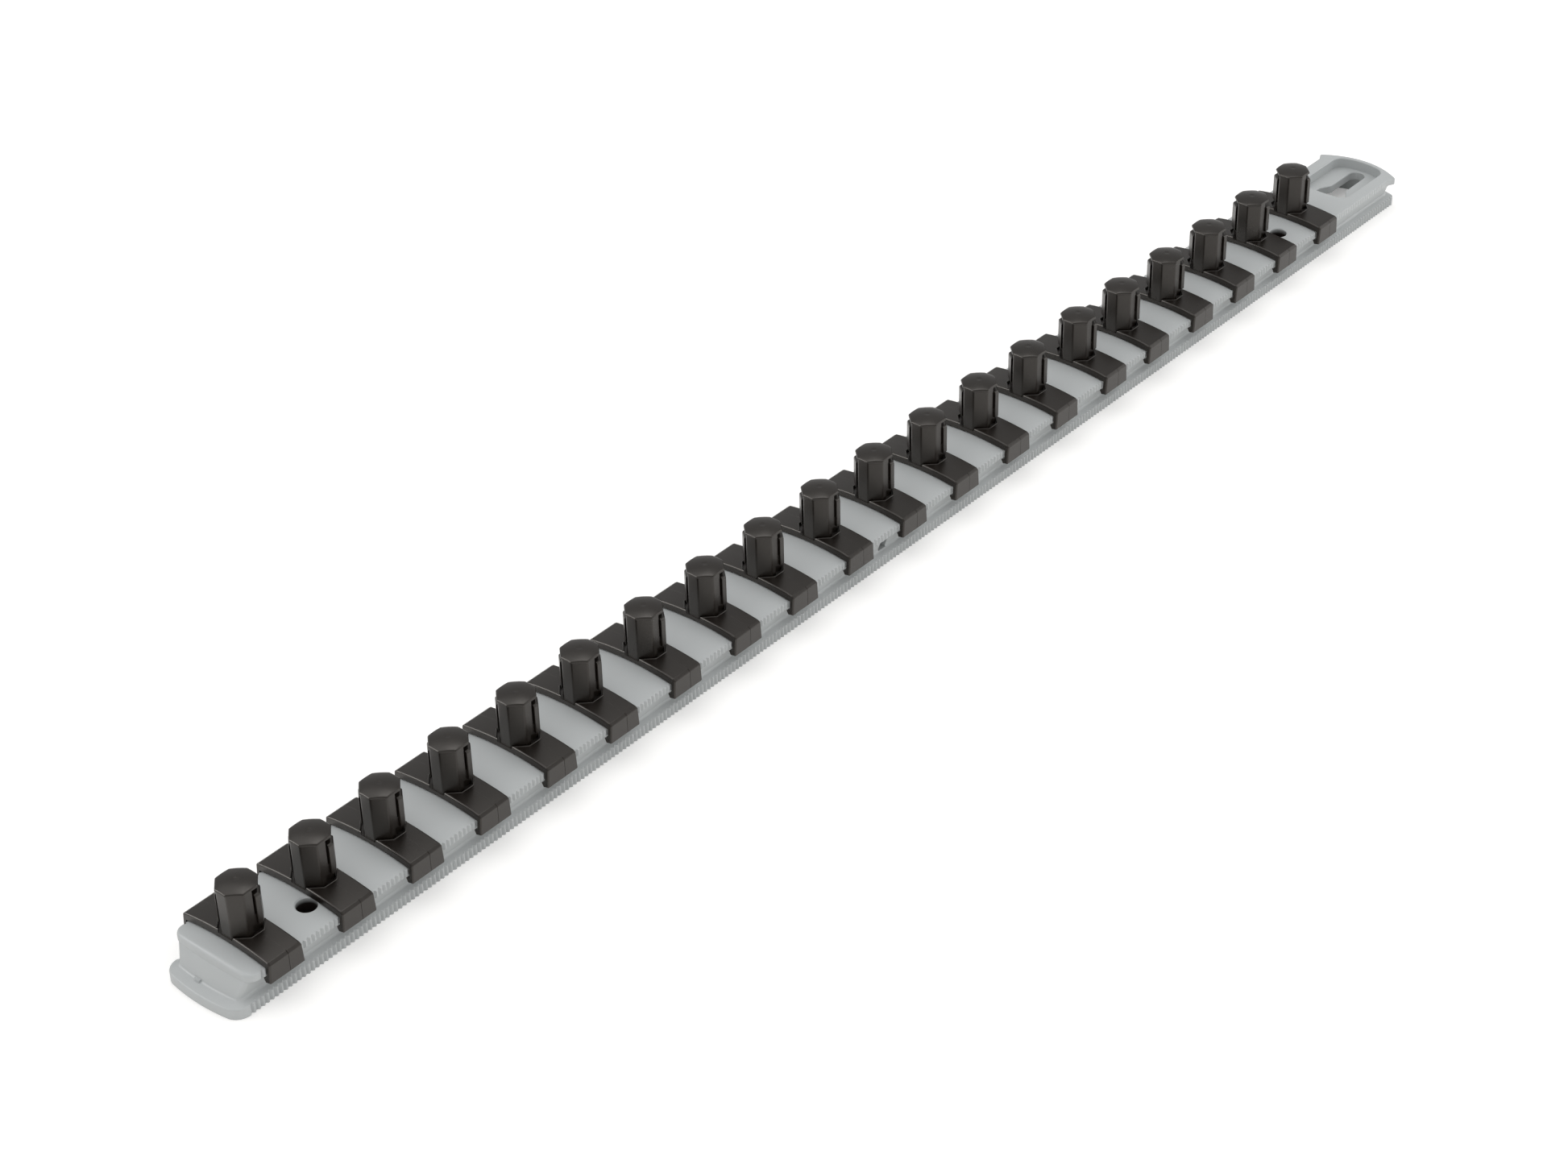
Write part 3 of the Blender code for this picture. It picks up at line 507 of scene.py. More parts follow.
def repeat_tree():
    """Node tree that repeats its own mesh: a row along X, once or on two edges turned to face outwards."""
    tree = bpy.data.node_groups.new("Repeat along the rail", "GeometryNodeTree")
    tree.interface.new_socket("Geometry", in_out="INPUT", socket_type="NodeSocketGeometry")
    for name, kind in (("Count", "NodeSocketInt"), ("Pitch", "NodeSocketFloat"),
                       ("Centre", "NodeSocketFloat"), ("Half Width", "NodeSocketFloat"),
                       ("Edges", "NodeSocketInt"), ("Material", "NodeSocketMaterial")):
        tree.interface.new_socket(name, in_out="INPUT", socket_type=kind)
    tree.interface.new_socket("Geometry", in_out="OUTPUT", socket_type="NodeSocketGeometry")
    board = Board(tree)
    group = tree.nodes.new("NodeGroupInput")
    given = {socket.name: Term(board, socket) for socket in group.outputs if socket.name}
    along = (given["Count"] - 1) * given["Pitch"] * -0.5
    start = board.add("ShaderNodeCombineXYZ", {}, {"X": along})
    step = board.add("ShaderNodeCombineXYZ", {}, {"X": given["Pitch"]})
    row = board.add("GeometryNodeMeshLine", {"mode": "OFFSET"},
                    {"Count": given["Count"], "Start Location": start, "Offset": step})
    copies = board.add("GeometryNodeInstanceOnPoints", {}, {"Points": row, "Instance": given["Geometry"]})
    first_edge = board.add("ShaderNodeCombineXYZ", {}, {"X": given["Centre"], "Y": given["Half Width"]})
    to_next = board.add("ShaderNodeCombineXYZ", {}, {"Y": given["Half Width"] * -2.0})
    edges = board.add("GeometryNodeMeshLine", {"mode": "OFFSET"},
                      {"Count": given["Edges"], "Start Location": first_edge, "Offset": to_next})
    turn = board.add("GeometryNodeInputIndex") * math.pi
    turned = board.add("ShaderNodeCombineXYZ", {}, {"Z": turn})
    rows = board.add("GeometryNodeInstanceOnPoints", {},
                     {"Points": edges, "Instance": copies, "Rotation": turned})
    real = board.add("GeometryNodeRealizeInstances", {}, {"Geometry": rows})
    coated = board.add("GeometryNodeSetMaterial", {}, {"Geometry": real, "Material": given["Material"]})
    board.add("NodeGroupOutput", {}, {"Geometry": coated}, output=None)
    return tree


def flat_end(place, half_width):
    """A straight end of a plan, from -Y to +Y."""
    return [(place, -half_width), (place, half_width)]


def bowed_end(tip, half_width, bow, corner, facing):
    """Points across one rounded end of a plan, from -Y to +Y; facing is 1 at the far end, -1 at the near."""
    straight = half_width - corner
    across = [straight * (2 * step / BOW_STEPS - 1) for step in range(BOW_STEPS + 1)]
    turns = [math.pi / 2 * (step + 1) / CORNER_STEPS for step in range(CORNER_STEPS)]
    rounds = [(straight + corner * math.sin(turn), corner * (1 - math.cos(turn))) for turn in turns]
    places = [(-y, drop) for y, drop in reversed(rounds)] + [(y, 0.0) for y in across] + rounds
    return [(tip - facing * (bow * (y / half_width) ** 2 + drop), y) for y, drop in places]


def plan(near, far, steps=1):
    """A closed plan through a near end and a far end, against the clock seen from above.

    Its two long sides are cut into steps, which keeps the faces along them short."""
    shares = [step / steps for step in range(1, steps)]
    right = [tuple(Vector(near[0]).lerp(Vector(far[0]), share)) for share in shares]
    left = [tuple(Vector(far[-1]).lerp(Vector(near[-1]), share)) for share in shares]
    return list(reversed(near)) + right + far + left


def rounded(corners, radius):
    """A polygon with each corner rounded by about a radius."""
    points = []
    for index, corner in enumerate(corners):
        corner = Vector(corner)
        before = Vector(corners[index - 1]) - corner
        after = Vector(corners[(index + 1) % len(corners)]) - corner
        reach = radius / math.tan(before.angle(after) / 2)
        start = corner + before.normalized() * min(reach, before.length * CORNER_SIDE_SHARE)
        end = corner + after.normalized() * min(reach, after.length * CORNER_SIDE_SHARE)
        for step in range(ROUND_STEPS + 1):
            share = step / ROUND_STEPS
            curve = start * (1 - share) ** 2 + corner * (2 * share * (1 - share)) + end * share ** 2
            points.append(tuple(curve))
    return points


def filled_in(outline, spacing):
    """An outline with more points along its longer stretches."""
    points = []
    for start, end in zip(outline, outline[1:] + outline[:1]):
        steps = max(1, round(math.dist(start, end) / spacing))
        points += [tuple(Vector(start).lerp(Vector(end), step / steps)) for step in range(steps)]
    return points


def inset(outline, distance):
    """An outline that runs against the clock, drawn in by one distance or by a distance for each point."""
    distances = distance if isinstance(distance, list) else [distance] * len(outline)
    points = []
    for index, point in enumerate(outline):
        point = Vector(point)
        before = (point - Vector(outline[index - 1])).normalized()
        after = (Vector(outline[(index + 1) % len(outline)]) - point).normalized()
        inward = Vector((-before.y, before.x)) + Vector((-after.y, after.x))
        reach = inward.normalized() / max(1 / MITRE_LIMIT, math.sqrt((1 + before.dot(after)) / 2))
        points.append(tuple(point + reach * distances[index]))
    return points


def at_height(outline, height):
    """A flat outline lifted to one height, or to a height for each point."""
    heights = height if isinstance(height, list) else [height] * len(outline)
    return [(x, y, z) for (x, y), z in zip(outline, heights)]


def quarter(steps=ROUND_STEPS):
    """Steps of a quarter round: how far in and how far up, from its foot to its top, as shares."""
    turns = [math.pi / 2 * step / steps for step in range(steps + 1)]
    return [(1 - math.cos(turn), math.sin(turn)) for turn in turns]


def rounded_edge(outline, radius, top):
    """Rings of an outline's upper edge, rounded from its upright side to its top."""
    return [at_height(inset(outline, radius * drawn_in), top - radius * (1 - risen))
            for drawn_in, risen in quarter()]


def directions(path):
    """Direction in which an open path runs at each of its points."""
    last = len(path) - 1
    steps = [Vector(path[min(last, index + 1)]) - Vector(path[max(0, index - 1)])
             for index in range(len(path))]
    return [step.normalized() for step in steps]


def mirrored(line):
    """A line of (y, z) points on the other side of the rail, run the other way."""
    return [(-y, z) for y, z in reversed(line)]


def skin(shape, loops):
    """Faces between each ring of points and the next."""
    for lower, upper in zip(loops, loops[1:]):
        for step, corner in enumerate(lower):
            following = (step + 1) % len(lower)
            shape.faces.new((corner, lower[following], upper[following], upper[step]))


def mesh_from(name, shape):
    """A mesh from a shape in work, which is gone afterwards."""
    mesh = bpy.data.meshes.new(name)
    shape.to_mesh(mesh)
    shape.free()
    return mesh


def loft(name, rings, close_top=None):
    """A closed solid through rings of points, whose top is one face unless close_top makes others."""
    shape = bmesh.new()
    loops = [[shape.verts.new(point) for point in ring] for ring in rings]
    skin(shape, loops)
    shape.faces.new(reversed(loops[0]))
    if close_top:
        close_top(shape, loops[-1])
    else:
        shape.faces.new(loops[-1])
    bmesh.ops.remove_doubles(shape, verts=shape.verts, dist=WELD)
    bmesh.ops.recalc_face_normals(shape, faces=shape.faces)
    return mesh_from(name, shape)


def box_mesh(name, low, high):
    """A box between two corners."""
    outline = [(low[0], low[1]), (high[0], low[1]), (high[0], high[1]), (low[0], high[1])]
    return loft(name, [at_height(outline, low[2]), at_height(outline, high[2])])


def circle(centre, radius):
    """A round outline."""
    turns = [2 * math.pi * step / CIRCLE_STEPS for step in range(CIRCLE_STEPS)]
    return [(centre[0] + radius * math.cos(turn), centre[1] + radius * math.sin(turn)) for turn in turns]


def joined(name, meshes):
    """One mesh of several solids that don't touch."""
    shape = bmesh.new()
    for mesh in meshes:
        shape.from_mesh(mesh)
    return mesh_from(name, shape)


def place_mesh(name, mesh):
    """An object that shows a mesh."""
    piece = bpy.data.objects.new(name, mesh)
    bpy.context.scene.collection.objects.link(piece)
    return piece


def cut_or_join(piece, mesh, operation):
    """A live Boolean on a piece, with a mesh or with an object that is a tool already."""
    tool = mesh if isinstance(mesh, bpy.types.Object) else place_mesh(mesh.name, mesh)
    modifier = piece.modifiers.new(tool.name, "BOOLEAN")
    modifier.operation = operation
    modifier.solver = "MANIFOLD"
    modifier.object = tool
    return tool


def carried_out(piece, tools):
    """The piece's mesh with its modifiers carried out; the piece and its tools are gone afterwards."""
    bpy.context.view_layer.update()
    graph = bpy.context.evaluated_depsgraph_get()
    mesh = bpy.data.meshes.new_from_object(piece.evaluated_get(graph))
    for old in [piece, *tools]:
        bpy.data.objects.remove(old)
    return mesh


def worked_over(piece, changes):
    """The piece's mesh after a series of Booleans, each given as a mesh or tool and its operation."""
    tools = [cut_or_join(piece, mesh, operation) for mesh, operation in changes]
    return carried_out(piece, tools)


def repeated(name, mesh, count, pitch, centre, half_width, edges):
    """A tool whose mesh the repeat tree sets out along the rail."""
    tool = place_mesh(name, mesh)
    modifier = tool.modifiers.new("Repeat", "NODES")
    modifier.node_group = bpy.data.node_groups.get("Repeat along the rail") or repeat_tree()
    given = {"Count": count, "Pitch": pitch, "Centre": centre, "Half Width": half_width, "Edges": edges}
    for item in modifier.node_group.interface.items_tree:
        if item.in_out == "INPUT" and item.name in given:
            modifier[item.identifier] = given[item.name]
    return tool


def both_ways(mesh):
    """A tool of a mesh and its copy turned half round about the clip's middle."""
    return repeated(mesh.name, mesh, count=1, pitch=0.0, centre=0.0, half_width=0.0, edges=2)


def smooth_finish(name, mesh, material):
    """A piece with its rounded faces shaded smooth, its true edges kept and its flats left flat."""
    mesh.materials.clear()
    mesh.materials.append(material)
    mesh.shade_smooth()
    mesh.set_sharp_from_angle(angle=SHARP_ANGLE)
    draft = place_mesh(name, mesh)
    weights = draft.modifiers.new("Flats", "WEIGHTED_NORMAL")
    weights.keep_sharp = True
    return carried_out(draft, [])


def set_on_body(name, mesh, body, node):
    """A finished piece that rides on a body and stands for a CAD node."""
    piece = place_mesh(name, mesh)
    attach(piece, body)
    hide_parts(node)


def crown_at(y, edge_height=HEAD_EDGE_HEIGHT):
    """Height of the rail's crowned top, or of a surface that follows it, across the rail."""
    return edge_height + HEAD_CROWN * (1 - (y / HEAD_HALF_WIDTH) ** 2)


def lip_under(y):
    """Height of the lips' sloping underside across the rail."""
    return LIP_HEIGHT - LIP_SLOPE * (HEAD_HALF_WIDTH - y)


def lip_rings(outline, root, reach):
    """Rings under an overhanging lip, from its root on the neck to the small round at its edge."""
    return [
        at_height(root, LIP_HEIGHT - LIP_SLOPE * reach),
        at_height(inset(outline, LIP_UNDER_ROUND), LIP_HEIGHT - LIP_SLOPE * LIP_UNDER_ROUND),
        at_height(outline, LIP_HEIGHT + LIP_UNDER_ROUND),
    ]


def foot_mesh(sizes):
    """Flange with its ledge, the fillet above it and the neck up into the head."""
    flange = plan(
        bowed_end(NEAR_END, FLANGE_HALF_WIDTH, FLANGE_NEAR_BOW, FLANGE_NEAR_CORNER, -1),
        bowed_end(FAR_END, FLANGE_HALF_WIDTH, FLANGE_FAR_BOW, FLANGE_FAR_CORNER, 1), RAIL_STEPS)
    neck_foot = plan(
        bowed_end(NEAR_END + NECK_NEAR_INSET, NECK_FOOT_HALF_WIDTH, HEAD_NEAR_BOW, NECK_CORNER, -1),
        bowed_end(FAR_END - NECK_FAR_INSET, NECK_FOOT_HALF_WIDTH, NECK_FAR_BOW, NECK_CORNER, 1), RAIL_STEPS)
    neck_top = plan(
        bowed_end(NEAR_END + HEAD_NEAR_INSET, NECK_TOP_HALF_WIDTH, HEAD_NEAR_BOW, NECK_CORNER, -1),
        bowed_end(FAR_END - NECK_FAR_INSET, NECK_TOP_HALF_WIDTH, NECK_FAR_BOW, NECK_CORNER, 1), RAIL_STEPS)
    edge = sizes.flange_round
    ledge = [math.dist(outer, inner) for outer, inner in zip(flange, neck_foot)]
    fillets = [min(sizes.fillet, (width - edge) * FILLET_LEDGE_SHARE) for width in ledge]
    starts = [FLANGE_HEIGHT + LEDGE_SLOPE * (width - fillet - edge) for width, fillet in zip(ledge, fillets)]
    rings = [at_height(flange, 0.0)] + rounded_edge(flange, edge, FLANGE_HEIGHT)
    for risen, drawn_in in quarter():
        grown = [-fillet * (1 - drawn_in) for fillet in fillets]
        heights = [start + fillet * risen for start, fillet in zip(starts, fillets)]
        rings.append(at_height(inset(neck_foot, grown), heights))
    rings.append(at_height(neck_top, LIP_HEIGHT))
    rings.append(at_height(neck_top, LIP_HEIGHT + OVERRUN))
    return loft("foot", rings)


def head_mesh(sizes):
    """Crowned head: its rim rounded widely at the near end and finely along the lips."""
    tip = NEAR_END + HEAD_NEAR_INSET
    near = bowed_end(tip, HEAD_HALF_WIDTH, HEAD_NEAR_BOW, HEAD_NEAR_CORNER, -1)
    outline = plan(near, flat_end(PLATE_START + OVERRUN, HEAD_HALF_WIDTH), RAIL_STEPS)
    rim_end = tip + HEAD_NEAR_BOW + HEAD_NEAR_CORNER
    radii = []
    for x, y in outline:
        share = max(0.0, min(1.0, (rim_end - x) / HEAD_NEAR_CORNER))
        radii.append(sizes.lip_round + (sizes.near_round - sizes.lip_round) * share ** 2)
    sunk = HEAD_HALF_WIDTH - NECK_FOOT_HALF_WIDTH
    rings = lip_rings(outline, inset(outline, sunk), sunk)
    for drawn_in, risen in quarter(HEAD_ROUND_STEPS):
        ring = inset(outline, [radius * drawn_in for radius in radii])
        heights = [crown_at(y) - radius * (1 - risen) for (x, y), radius in zip(ring, radii)]
        rings.append(at_height(ring, heights))
    return loft("head", rings, lambda shape, rim: crown_over(shape, rim, len(near)))


def crown_over(shape, rim, near_count):
    """Close a head's rim with the crown, in rows from the near tip to the far end."""
    middle = near_count // 2
    positive = [rim[middle - step] for step in range(len(rim) // 2 + 1)]
    negative = [rim[middle + step] for step in range(len(rim) // 2 + 1)]
    rows = []
    for start, end in zip(negative[1:], positive[1:]):
        row = [start]
        for step in range(1, CROWN_STEPS):
            place = start.co.lerp(end.co, step / CROWN_STEPS)
            row.append(shape.verts.new((place.x, place.y, crown_at(place.y))))
        rows.append(row + [end])
    for one, other in zip(rows[0], rows[0][1:]):
        shape.faces.new((rim[middle], one, other))
    for row, following in zip(rows, rows[1:]):
        for step in range(CROWN_STEPS):
            shape.faces.new((row[step], following[step], following[step + 1], row[step + 1]))
    shape.faces.new(rows[-1])


def plate_mesh(sizes):
    """Flat hanging plate with its two stop ears and a rounded rim."""
    ear_start = PLATE_TIP - PLATE_BOW - EAR_LENGTH
    end = bowed_end(PLATE_TIP, EAR_HALF_WIDTH, PLATE_BOW, EAR_CORNER, 1)
    flare = [(ear_start, -PLATE_HALF_WIDTH)] + end + [(ear_start, PLATE_HALF_WIDTH)]
    outline = plan(flat_end(PLATE_START, PLATE_HALF_WIDTH), flare, PLATE_STEPS)
    sunk = PLATE_HALF_WIDTH - NECK_FOOT_HALF_WIDTH
    inner_bow = PLATE_BOW * (NECK_FOOT_HALF_WIDTH / EAR_HALF_WIDTH) ** 2
    inner_end = bowed_end(PLATE_TIP - sunk, NECK_FOOT_HALF_WIDTH, inner_bow, NECK_CORNER, 1)
    inner_start = ear_start - sunk
    inner_flare = [(inner_start, -NECK_FOOT_HALF_WIDTH)] + inner_end + [(inner_start, NECK_FOOT_HALF_WIDTH)]
    inner = plan(flat_end(PLATE_START + sunk, NECK_FOOT_HALF_WIDTH), inner_flare, PLATE_STEPS)
    rings = lip_rings(outline, inner, sunk) + rounded_edge(outline, sizes.plate_round, PLATE_HEIGHT)
    return loft("plate", rings)


def core_cell_mesh(length, ceiling):
    """One drafted hollow cell of the underside, centred on the rail's middle."""
    half_width = NECK_FOOT_HALF_WIDTH - NECK_WALL
    rings = []
    for draft, height in ((0.0, -OVERRUN), (CORE_DRAFT, ceiling)):
        reach = length / 2 - draft
        side = half_width - draft
        corners = [(-reach, -side), (reach, -side), (reach, side), (-reach, side)]
        rings.append(at_height(rounded(corners, CORE_DRAFT), height))
    return loft("core_cell", rings)


def core_row(ceiling):
    """Tool for the row of hollow cells, with a rib between each and the next."""
    first = NEAR_END + HEAD_NEAR_INSET + HEAD_NEAR_BOW + NECK_WALL
    last = PLATE_START - RIB_THICKNESS
    pitch = (last - first) / CORE_CELLS
    centre = (first + last - RIB_THICKNESS) / 2
    cell = core_cell_mesh(pitch - RIB_THICKNESS, ceiling)
    return repeated("cores", cell, CORE_CELLS, pitch, centre, half_width=0.0, edges=1)


def far_core_mesh():
    """Hollow under the hanging plate, longer than the keyhole's slot."""
    rings = []
    for draft, height in ((0.0, -OVERRUN), (CORE_DRAFT, PLATE_HEIGHT - POCKET_DEPTH - POCKET_FLOOR)):
        half_width = NECK_FOOT_HALF_WIDTH - NECK_WALL - draft
        bow = NECK_FAR_BOW * (half_width / NECK_FOOT_HALF_WIDTH) ** 2
        far = bowed_end(SLOT_END + 2 * CORE_DRAFT - draft, half_width, bow, NECK_CORNER, 1)
        rings.append(at_height(plan(flat_end(PLATE_START + draft, half_width), far), height))
    return loft("core_far", rings)


def screw_mesh(name, sections):
    """A turned tool at both screw holes, through (radius, height) sections."""
    solids = []
    for place in SCREW_PLACES:
        solids.append(loft(name, [at_height(circle(place, radius), height) for radius, height in sections]))
    return joined(name, solids)


def screw_meshes(sizes, ceiling):
    """The bosses under both screw holes, and the tools for the holes' bores and seats."""
    flare = sizes.rim_flare
    top = crown_at(SCREW_PLACES[0][1])
    floor = top - SCREW_SEAT_DEPTH
    bosses = screw_mesh("bosses", ((SCREW_BOSS_RADIUS, BOSS_FOOT_GAP), (SCREW_BOSS_RADIUS, ceiling + flare)))
    bores = screw_mesh("bores", ((SCREW_BORE_RADIUS, -OVERRUN), (SCREW_BORE_RADIUS, ABOVE_RAIL)))
    seats = screw_mesh("seats", (
        (SCREW_SEAT_RADIUS - flare, floor), (SCREW_SEAT_RADIUS, floor + flare),
        (SCREW_SEAT_RADIUS, top - flare), (SCREW_SEAT_RADIUS + 2 * flare, top + flare)))
    return bosses, bores, seats


def window_mesh():
    """Tool for the small square window in the -Y side."""
    low = (WINDOW_PLACE - WINDOW_WIDTH / 2, -NECK_TOP_HALF_WIDTH, WINDOW_SILL)
    high = (WINDOW_PLACE + WINDOW_WIDTH / 2, -(NECK_FOOT_HALF_WIDTH - NECK_WALL - OVERRUN),
            WINDOW_SILL + WINDOW_HEIGHT)
    return box_mesh("window", low, high)


def gate_mesh():
    """Raised gate mark on the near ledge."""
    corners = [(GATE_PLACE[0] + x * GATE_HALF_SIZE[0], GATE_PLACE[1] + y * GATE_HALF_SIZE[1])
               for x, y in ((-1, -1), (1, -1), (1, 1), (-1, 1))]
    outline = rounded(corners, GATE_CORNER)
    top = FLANGE_HEIGHT + LEDGE_SLOPE * NECK_NEAR_INSET + GATE_RISE
    return loft("gate", [at_height(outline, FLANGE_HEIGHT - OVERRUN), at_height(outline, top)])


def pocket_mesh(sizes):
    """Sunk pocket with a flared rim."""
    bow = PLATE_BOW * (POCKET_HALF_WIDTH / EAR_HALF_WIDTH) ** 2
    outline = plan(
        bowed_end(POCKET_END - POCKET_LENGTH, POCKET_HALF_WIDTH, POCKET_NEAR_BOW, POCKET_CORNER, -1),
        bowed_end(POCKET_END, POCKET_HALF_WIDTH, bow, POCKET_CORNER, 1))
    floor = PLATE_HEIGHT - POCKET_DEPTH
    flare = sizes.rim_flare
    rings = [at_height(outline, floor), at_height(outline, PLATE_HEIGHT - flare)]
    rings.append(at_height(inset(outline, -2 * flare), PLATE_HEIGHT + flare))
    return loft("pocket", rings)


def keyhole_mesh(sizes):
    """Keyhole through the pocket's floor: a wide mouth that narrows into a slot."""
    start = SLOT_END - KEYHOLE_LENGTH
    side = [(start + along * KEYHOLE_LENGTH, across * KEYHOLE_HALF_WIDTH)
            for along, across in KEYHOLE_SHARES]
    turns = [math.pi / 2 * step / CORNER_STEPS for step in range(CORNER_STEPS)]
    end = [(SLOT_END - SLOT_HALF_WIDTH * (1 - math.sin(turn)), SLOT_HALF_WIDTH * math.cos(turn))
           for turn in turns]
    upper = side[1:] + end
    outline = side[:1] + [(x, -y) for x, y in upper] + [(SLOT_END, 0.0)] + list(reversed(upper))
    top = PLATE_HEIGHT - POCKET_DEPTH
    flare = sizes.rim_flare
    rings = [at_height(outline, top - POCKET_FLOOR - OVERRUN), at_height(outline, top - flare),
             at_height(inset(outline, -2 * flare), top + flare)]
    return loft("keyhole", rings)


def groove_mesh(sizes, depth, bottom, top):
    """Tool for one groove between two teeth, at an edge that faces +Y."""
    mouth = (sizes.tooth_pitch - sizes.tooth_land) / 2
    floor = sizes.groove_floor / 2
    hair = depth * GROOVE_MOUTH_SHARE
    rings = []
    for height, share in ((bottom, GROOVE_FOOT_SHARE), (top, 1.0)):
        outline = [(-mouth, hair), (-floor, -depth * share), (floor, -depth * share), (mouth, hair),
                   (mouth, OVERRUN), (-mouth, OVERRUN)]
        rings.append(at_height(outline, height))
    return loft("groove", rings)


def groove_row(name, sizes, depth, run, half_width, heights):
    """Grooves along both edges of the flange, head or plate, as one tool."""
    start, end = run
    count = int((end - start) / sizes.tooth_pitch)
    groove = groove_mesh(sizes, depth, *heights)
    return repeated(name, groove, count, sizes.tooth_pitch, (start + end) / 2, half_width, 2)


def tooth_rows(sizes):
    """Tools for the grooves along the head's lips, the plate and the flange."""
    lip_start = NEAR_END + HEAD_NEAR_INSET + HEAD_NEAR_BOW + HEAD_NEAR_CORNER
    plate_end = PLATE_TIP - PLATE_BOW - 2 * EAR_LENGTH
    flange_start = NEAR_END + FLANGE_NEAR_BOW + FLANGE_NEAR_CORNER
    flange_end = FAR_END - FLANGE_FAR_BOW - FLANGE_FAR_CORNER
    depth = sizes.tooth_depth
    upper = (LIP_HEIGHT - OVERRUN, ABOVE_RAIL)
    lower = (-OVERRUN, FLANGE_HEIGHT + OVERRUN)
    return [
        groove_row("lip_grooves", sizes, depth, (lip_start, PLATE_START), HEAD_HALF_WIDTH, upper),
        groove_row("plate_grooves", sizes, depth / PLATE_FAINTNESS, (PLATE_START, plate_end),
                   PLATE_HALF_WIDTH, upper),
        groove_row("flange_grooves", sizes, depth, (flange_start, flange_end), FLANGE_HALF_WIDTH, lower),
    ]


def rail_mesh(sizes):
    """The whole rail: joined, hollowed, pocketed, drilled and toothed."""
    rail = place_mesh("rail_in_work", foot_mesh(sizes))
    ceiling = crown_at(NECK_FOOT_HALF_WIDTH - NECK_WALL) - HEAD_WALL
    bosses, bores, seats = screw_meshes(sizes, ceiling)
    upper_solids = [plate_mesh(sizes), head_mesh(sizes), gate_mesh()]
    hollows = [core_row(ceiling), far_core_mesh()]
    openings = [bores, seats, pocket_mesh(sizes), keyhole_mesh(sizes), window_mesh(), *tooth_rows(sizes)]
    changes = [(mesh, "UNION") for mesh in upper_solids]
    changes += [(tool, "DIFFERENCE") for tool in hollows]
    # The bosses stand inside the hollows, so they come after them
    changes += [(bosses, "UNION")]
    changes += [(tool, "DIFFERENCE") for tool in openings]
    return worked_over(rail, changes)


def octagon(half_length, half_width, shares=OCTAGON_FLAT_SHARES):
    """An octagon with unequal sides, against the clock."""
    flat_y = half_length * shares[0]
    flat_x = half_width * shares[1]
    side = [(half_length, -flat_x), (half_length, flat_x), (flat_y, half_width), (-flat_y, half_width)]
    return side + [(-x, -y) for x, y in side]


def saddle_top(y):
    """Height of the saddle's crowned top across the rail."""
    return SADDLE_EDGE_HEIGHT + SADDLE_CROWN * (1 - (y / CLIP_HALF_WIDTH) ** 2)


def saddle_outer(sizes):
    """The saddle's outer line across the rail from its top to the +Y foot, as (y, z) points."""
    flat = CLIP_HALF_WIDTH - sizes.shoulder_width
    steps = [step / (CROWN_STEPS // 2) for step in range(CROWN_STEPS // 2)]
    top = [(flat * step, SADDLE_EDGE_HEIGHT + SADDLE_CROWN * (1 - step ** 2)) for step in steps]
    corners = [(0.0, SADDLE_EDGE_HEIGHT), (flat, SADDLE_EDGE_HEIGHT),
               (CLIP_HALF_WIDTH, SADDLE_EDGE_HEIGHT - sizes.shoulder_drop),
               (CLIP_HALF_WIDTH, SKIRT_FOOT), (0.0, SKIRT_FOOT)]
    bends = rounded(corners, sizes.shoulder_round)[ROUND_STEPS + 1:]
    shoulder = bends[:2 * (ROUND_STEPS + 1)]
    skirt = [(CLIP_HALF_WIDTH - SKIRT_FOOT_ROUND * drawn_in, SKIRT_FOOT + SKIRT_FOOT_ROUND * (1 - risen))
             for drawn_in, risen in quarter()]
    return top + shoulder + skirt


def saddle_inner():
    """The saddle's inner line from the +Y foot, round the hook and along the seat to the middle."""
    inner = HEAD_HALF_WIDTH + CLIP_CLEARANCE
    hook = inner - HOOK_REACH
    steps = [step / (CROWN_STEPS // 2) for step in range(CROWN_STEPS // 2 + 1)]
    line = [(hook + HOOK_BACK, SKIRT_FOOT), (hook, lip_under(hook) - HOOK_GAP),
            (inner, lip_under(inner) - HOOK_GAP)]
    return line + [(inner * step, crown_at(inner * step, SADDLE_SEAT)) for step in reversed(steps)]


def saddle_mesh(sizes):
    """Saddle drawn along the rail, its outer edges rounded at both ends."""
    outer = saddle_outer(sizes)
    half = outer + saddle_inner()
    section = list(reversed(half + mirrored(half)[1:-1]))
    half_rounds = [sizes.end_round] * len(outer) + [0.0] * (len(half) - len(outer))
    rounds = list(reversed(half_rounds + half_rounds[-2:0:-1]))
    rings = []
    for end in (-1, 1):
        steps = quarter() if end == 1 else reversed(quarter())
        for drawn_in, risen in steps:
            line = inset(section, [radius * drawn_in for radius in rounds])
            reach = CLIP_HALF_LENGTH - sizes.end_round * (1 - risen)
            rings.append([(end * (reach - sizes.end_draft * (z - SKIRT_FOOT)), y, z) for y, z in line])
    return loft("saddle", rings)


def well_mesh(sizes):
    """Well round the post's foot: an octagon with a rounded rim, open at the saddle's two ends."""
    reach = CLIP_HALF_LENGTH + OVERRUN
    outline = []
    for x, y in octagon(WELL_HALF_LENGTH, WELL_HALF_WIDTH, WELL_FLAT_SHARES):
        if abs(x) < WELL_HALF_LENGTH:
            outline.append((x, y))
        else:
            mouth = (math.copysign(reach, x), y)
            outline += [(x, y), mouth] if x * y < 0 else [mouth, (x, y)]
    flare = sizes.well_flare
    rings = [at_height(outline, WELL_FLOOR)]
    for grown, drop in WELL_RIM_SHARES:
        rings.append([(x, y, saddle_top(y) - flare * drop) for x, y in inset(outline, -flare * grown)])
    return loft("well", rings)


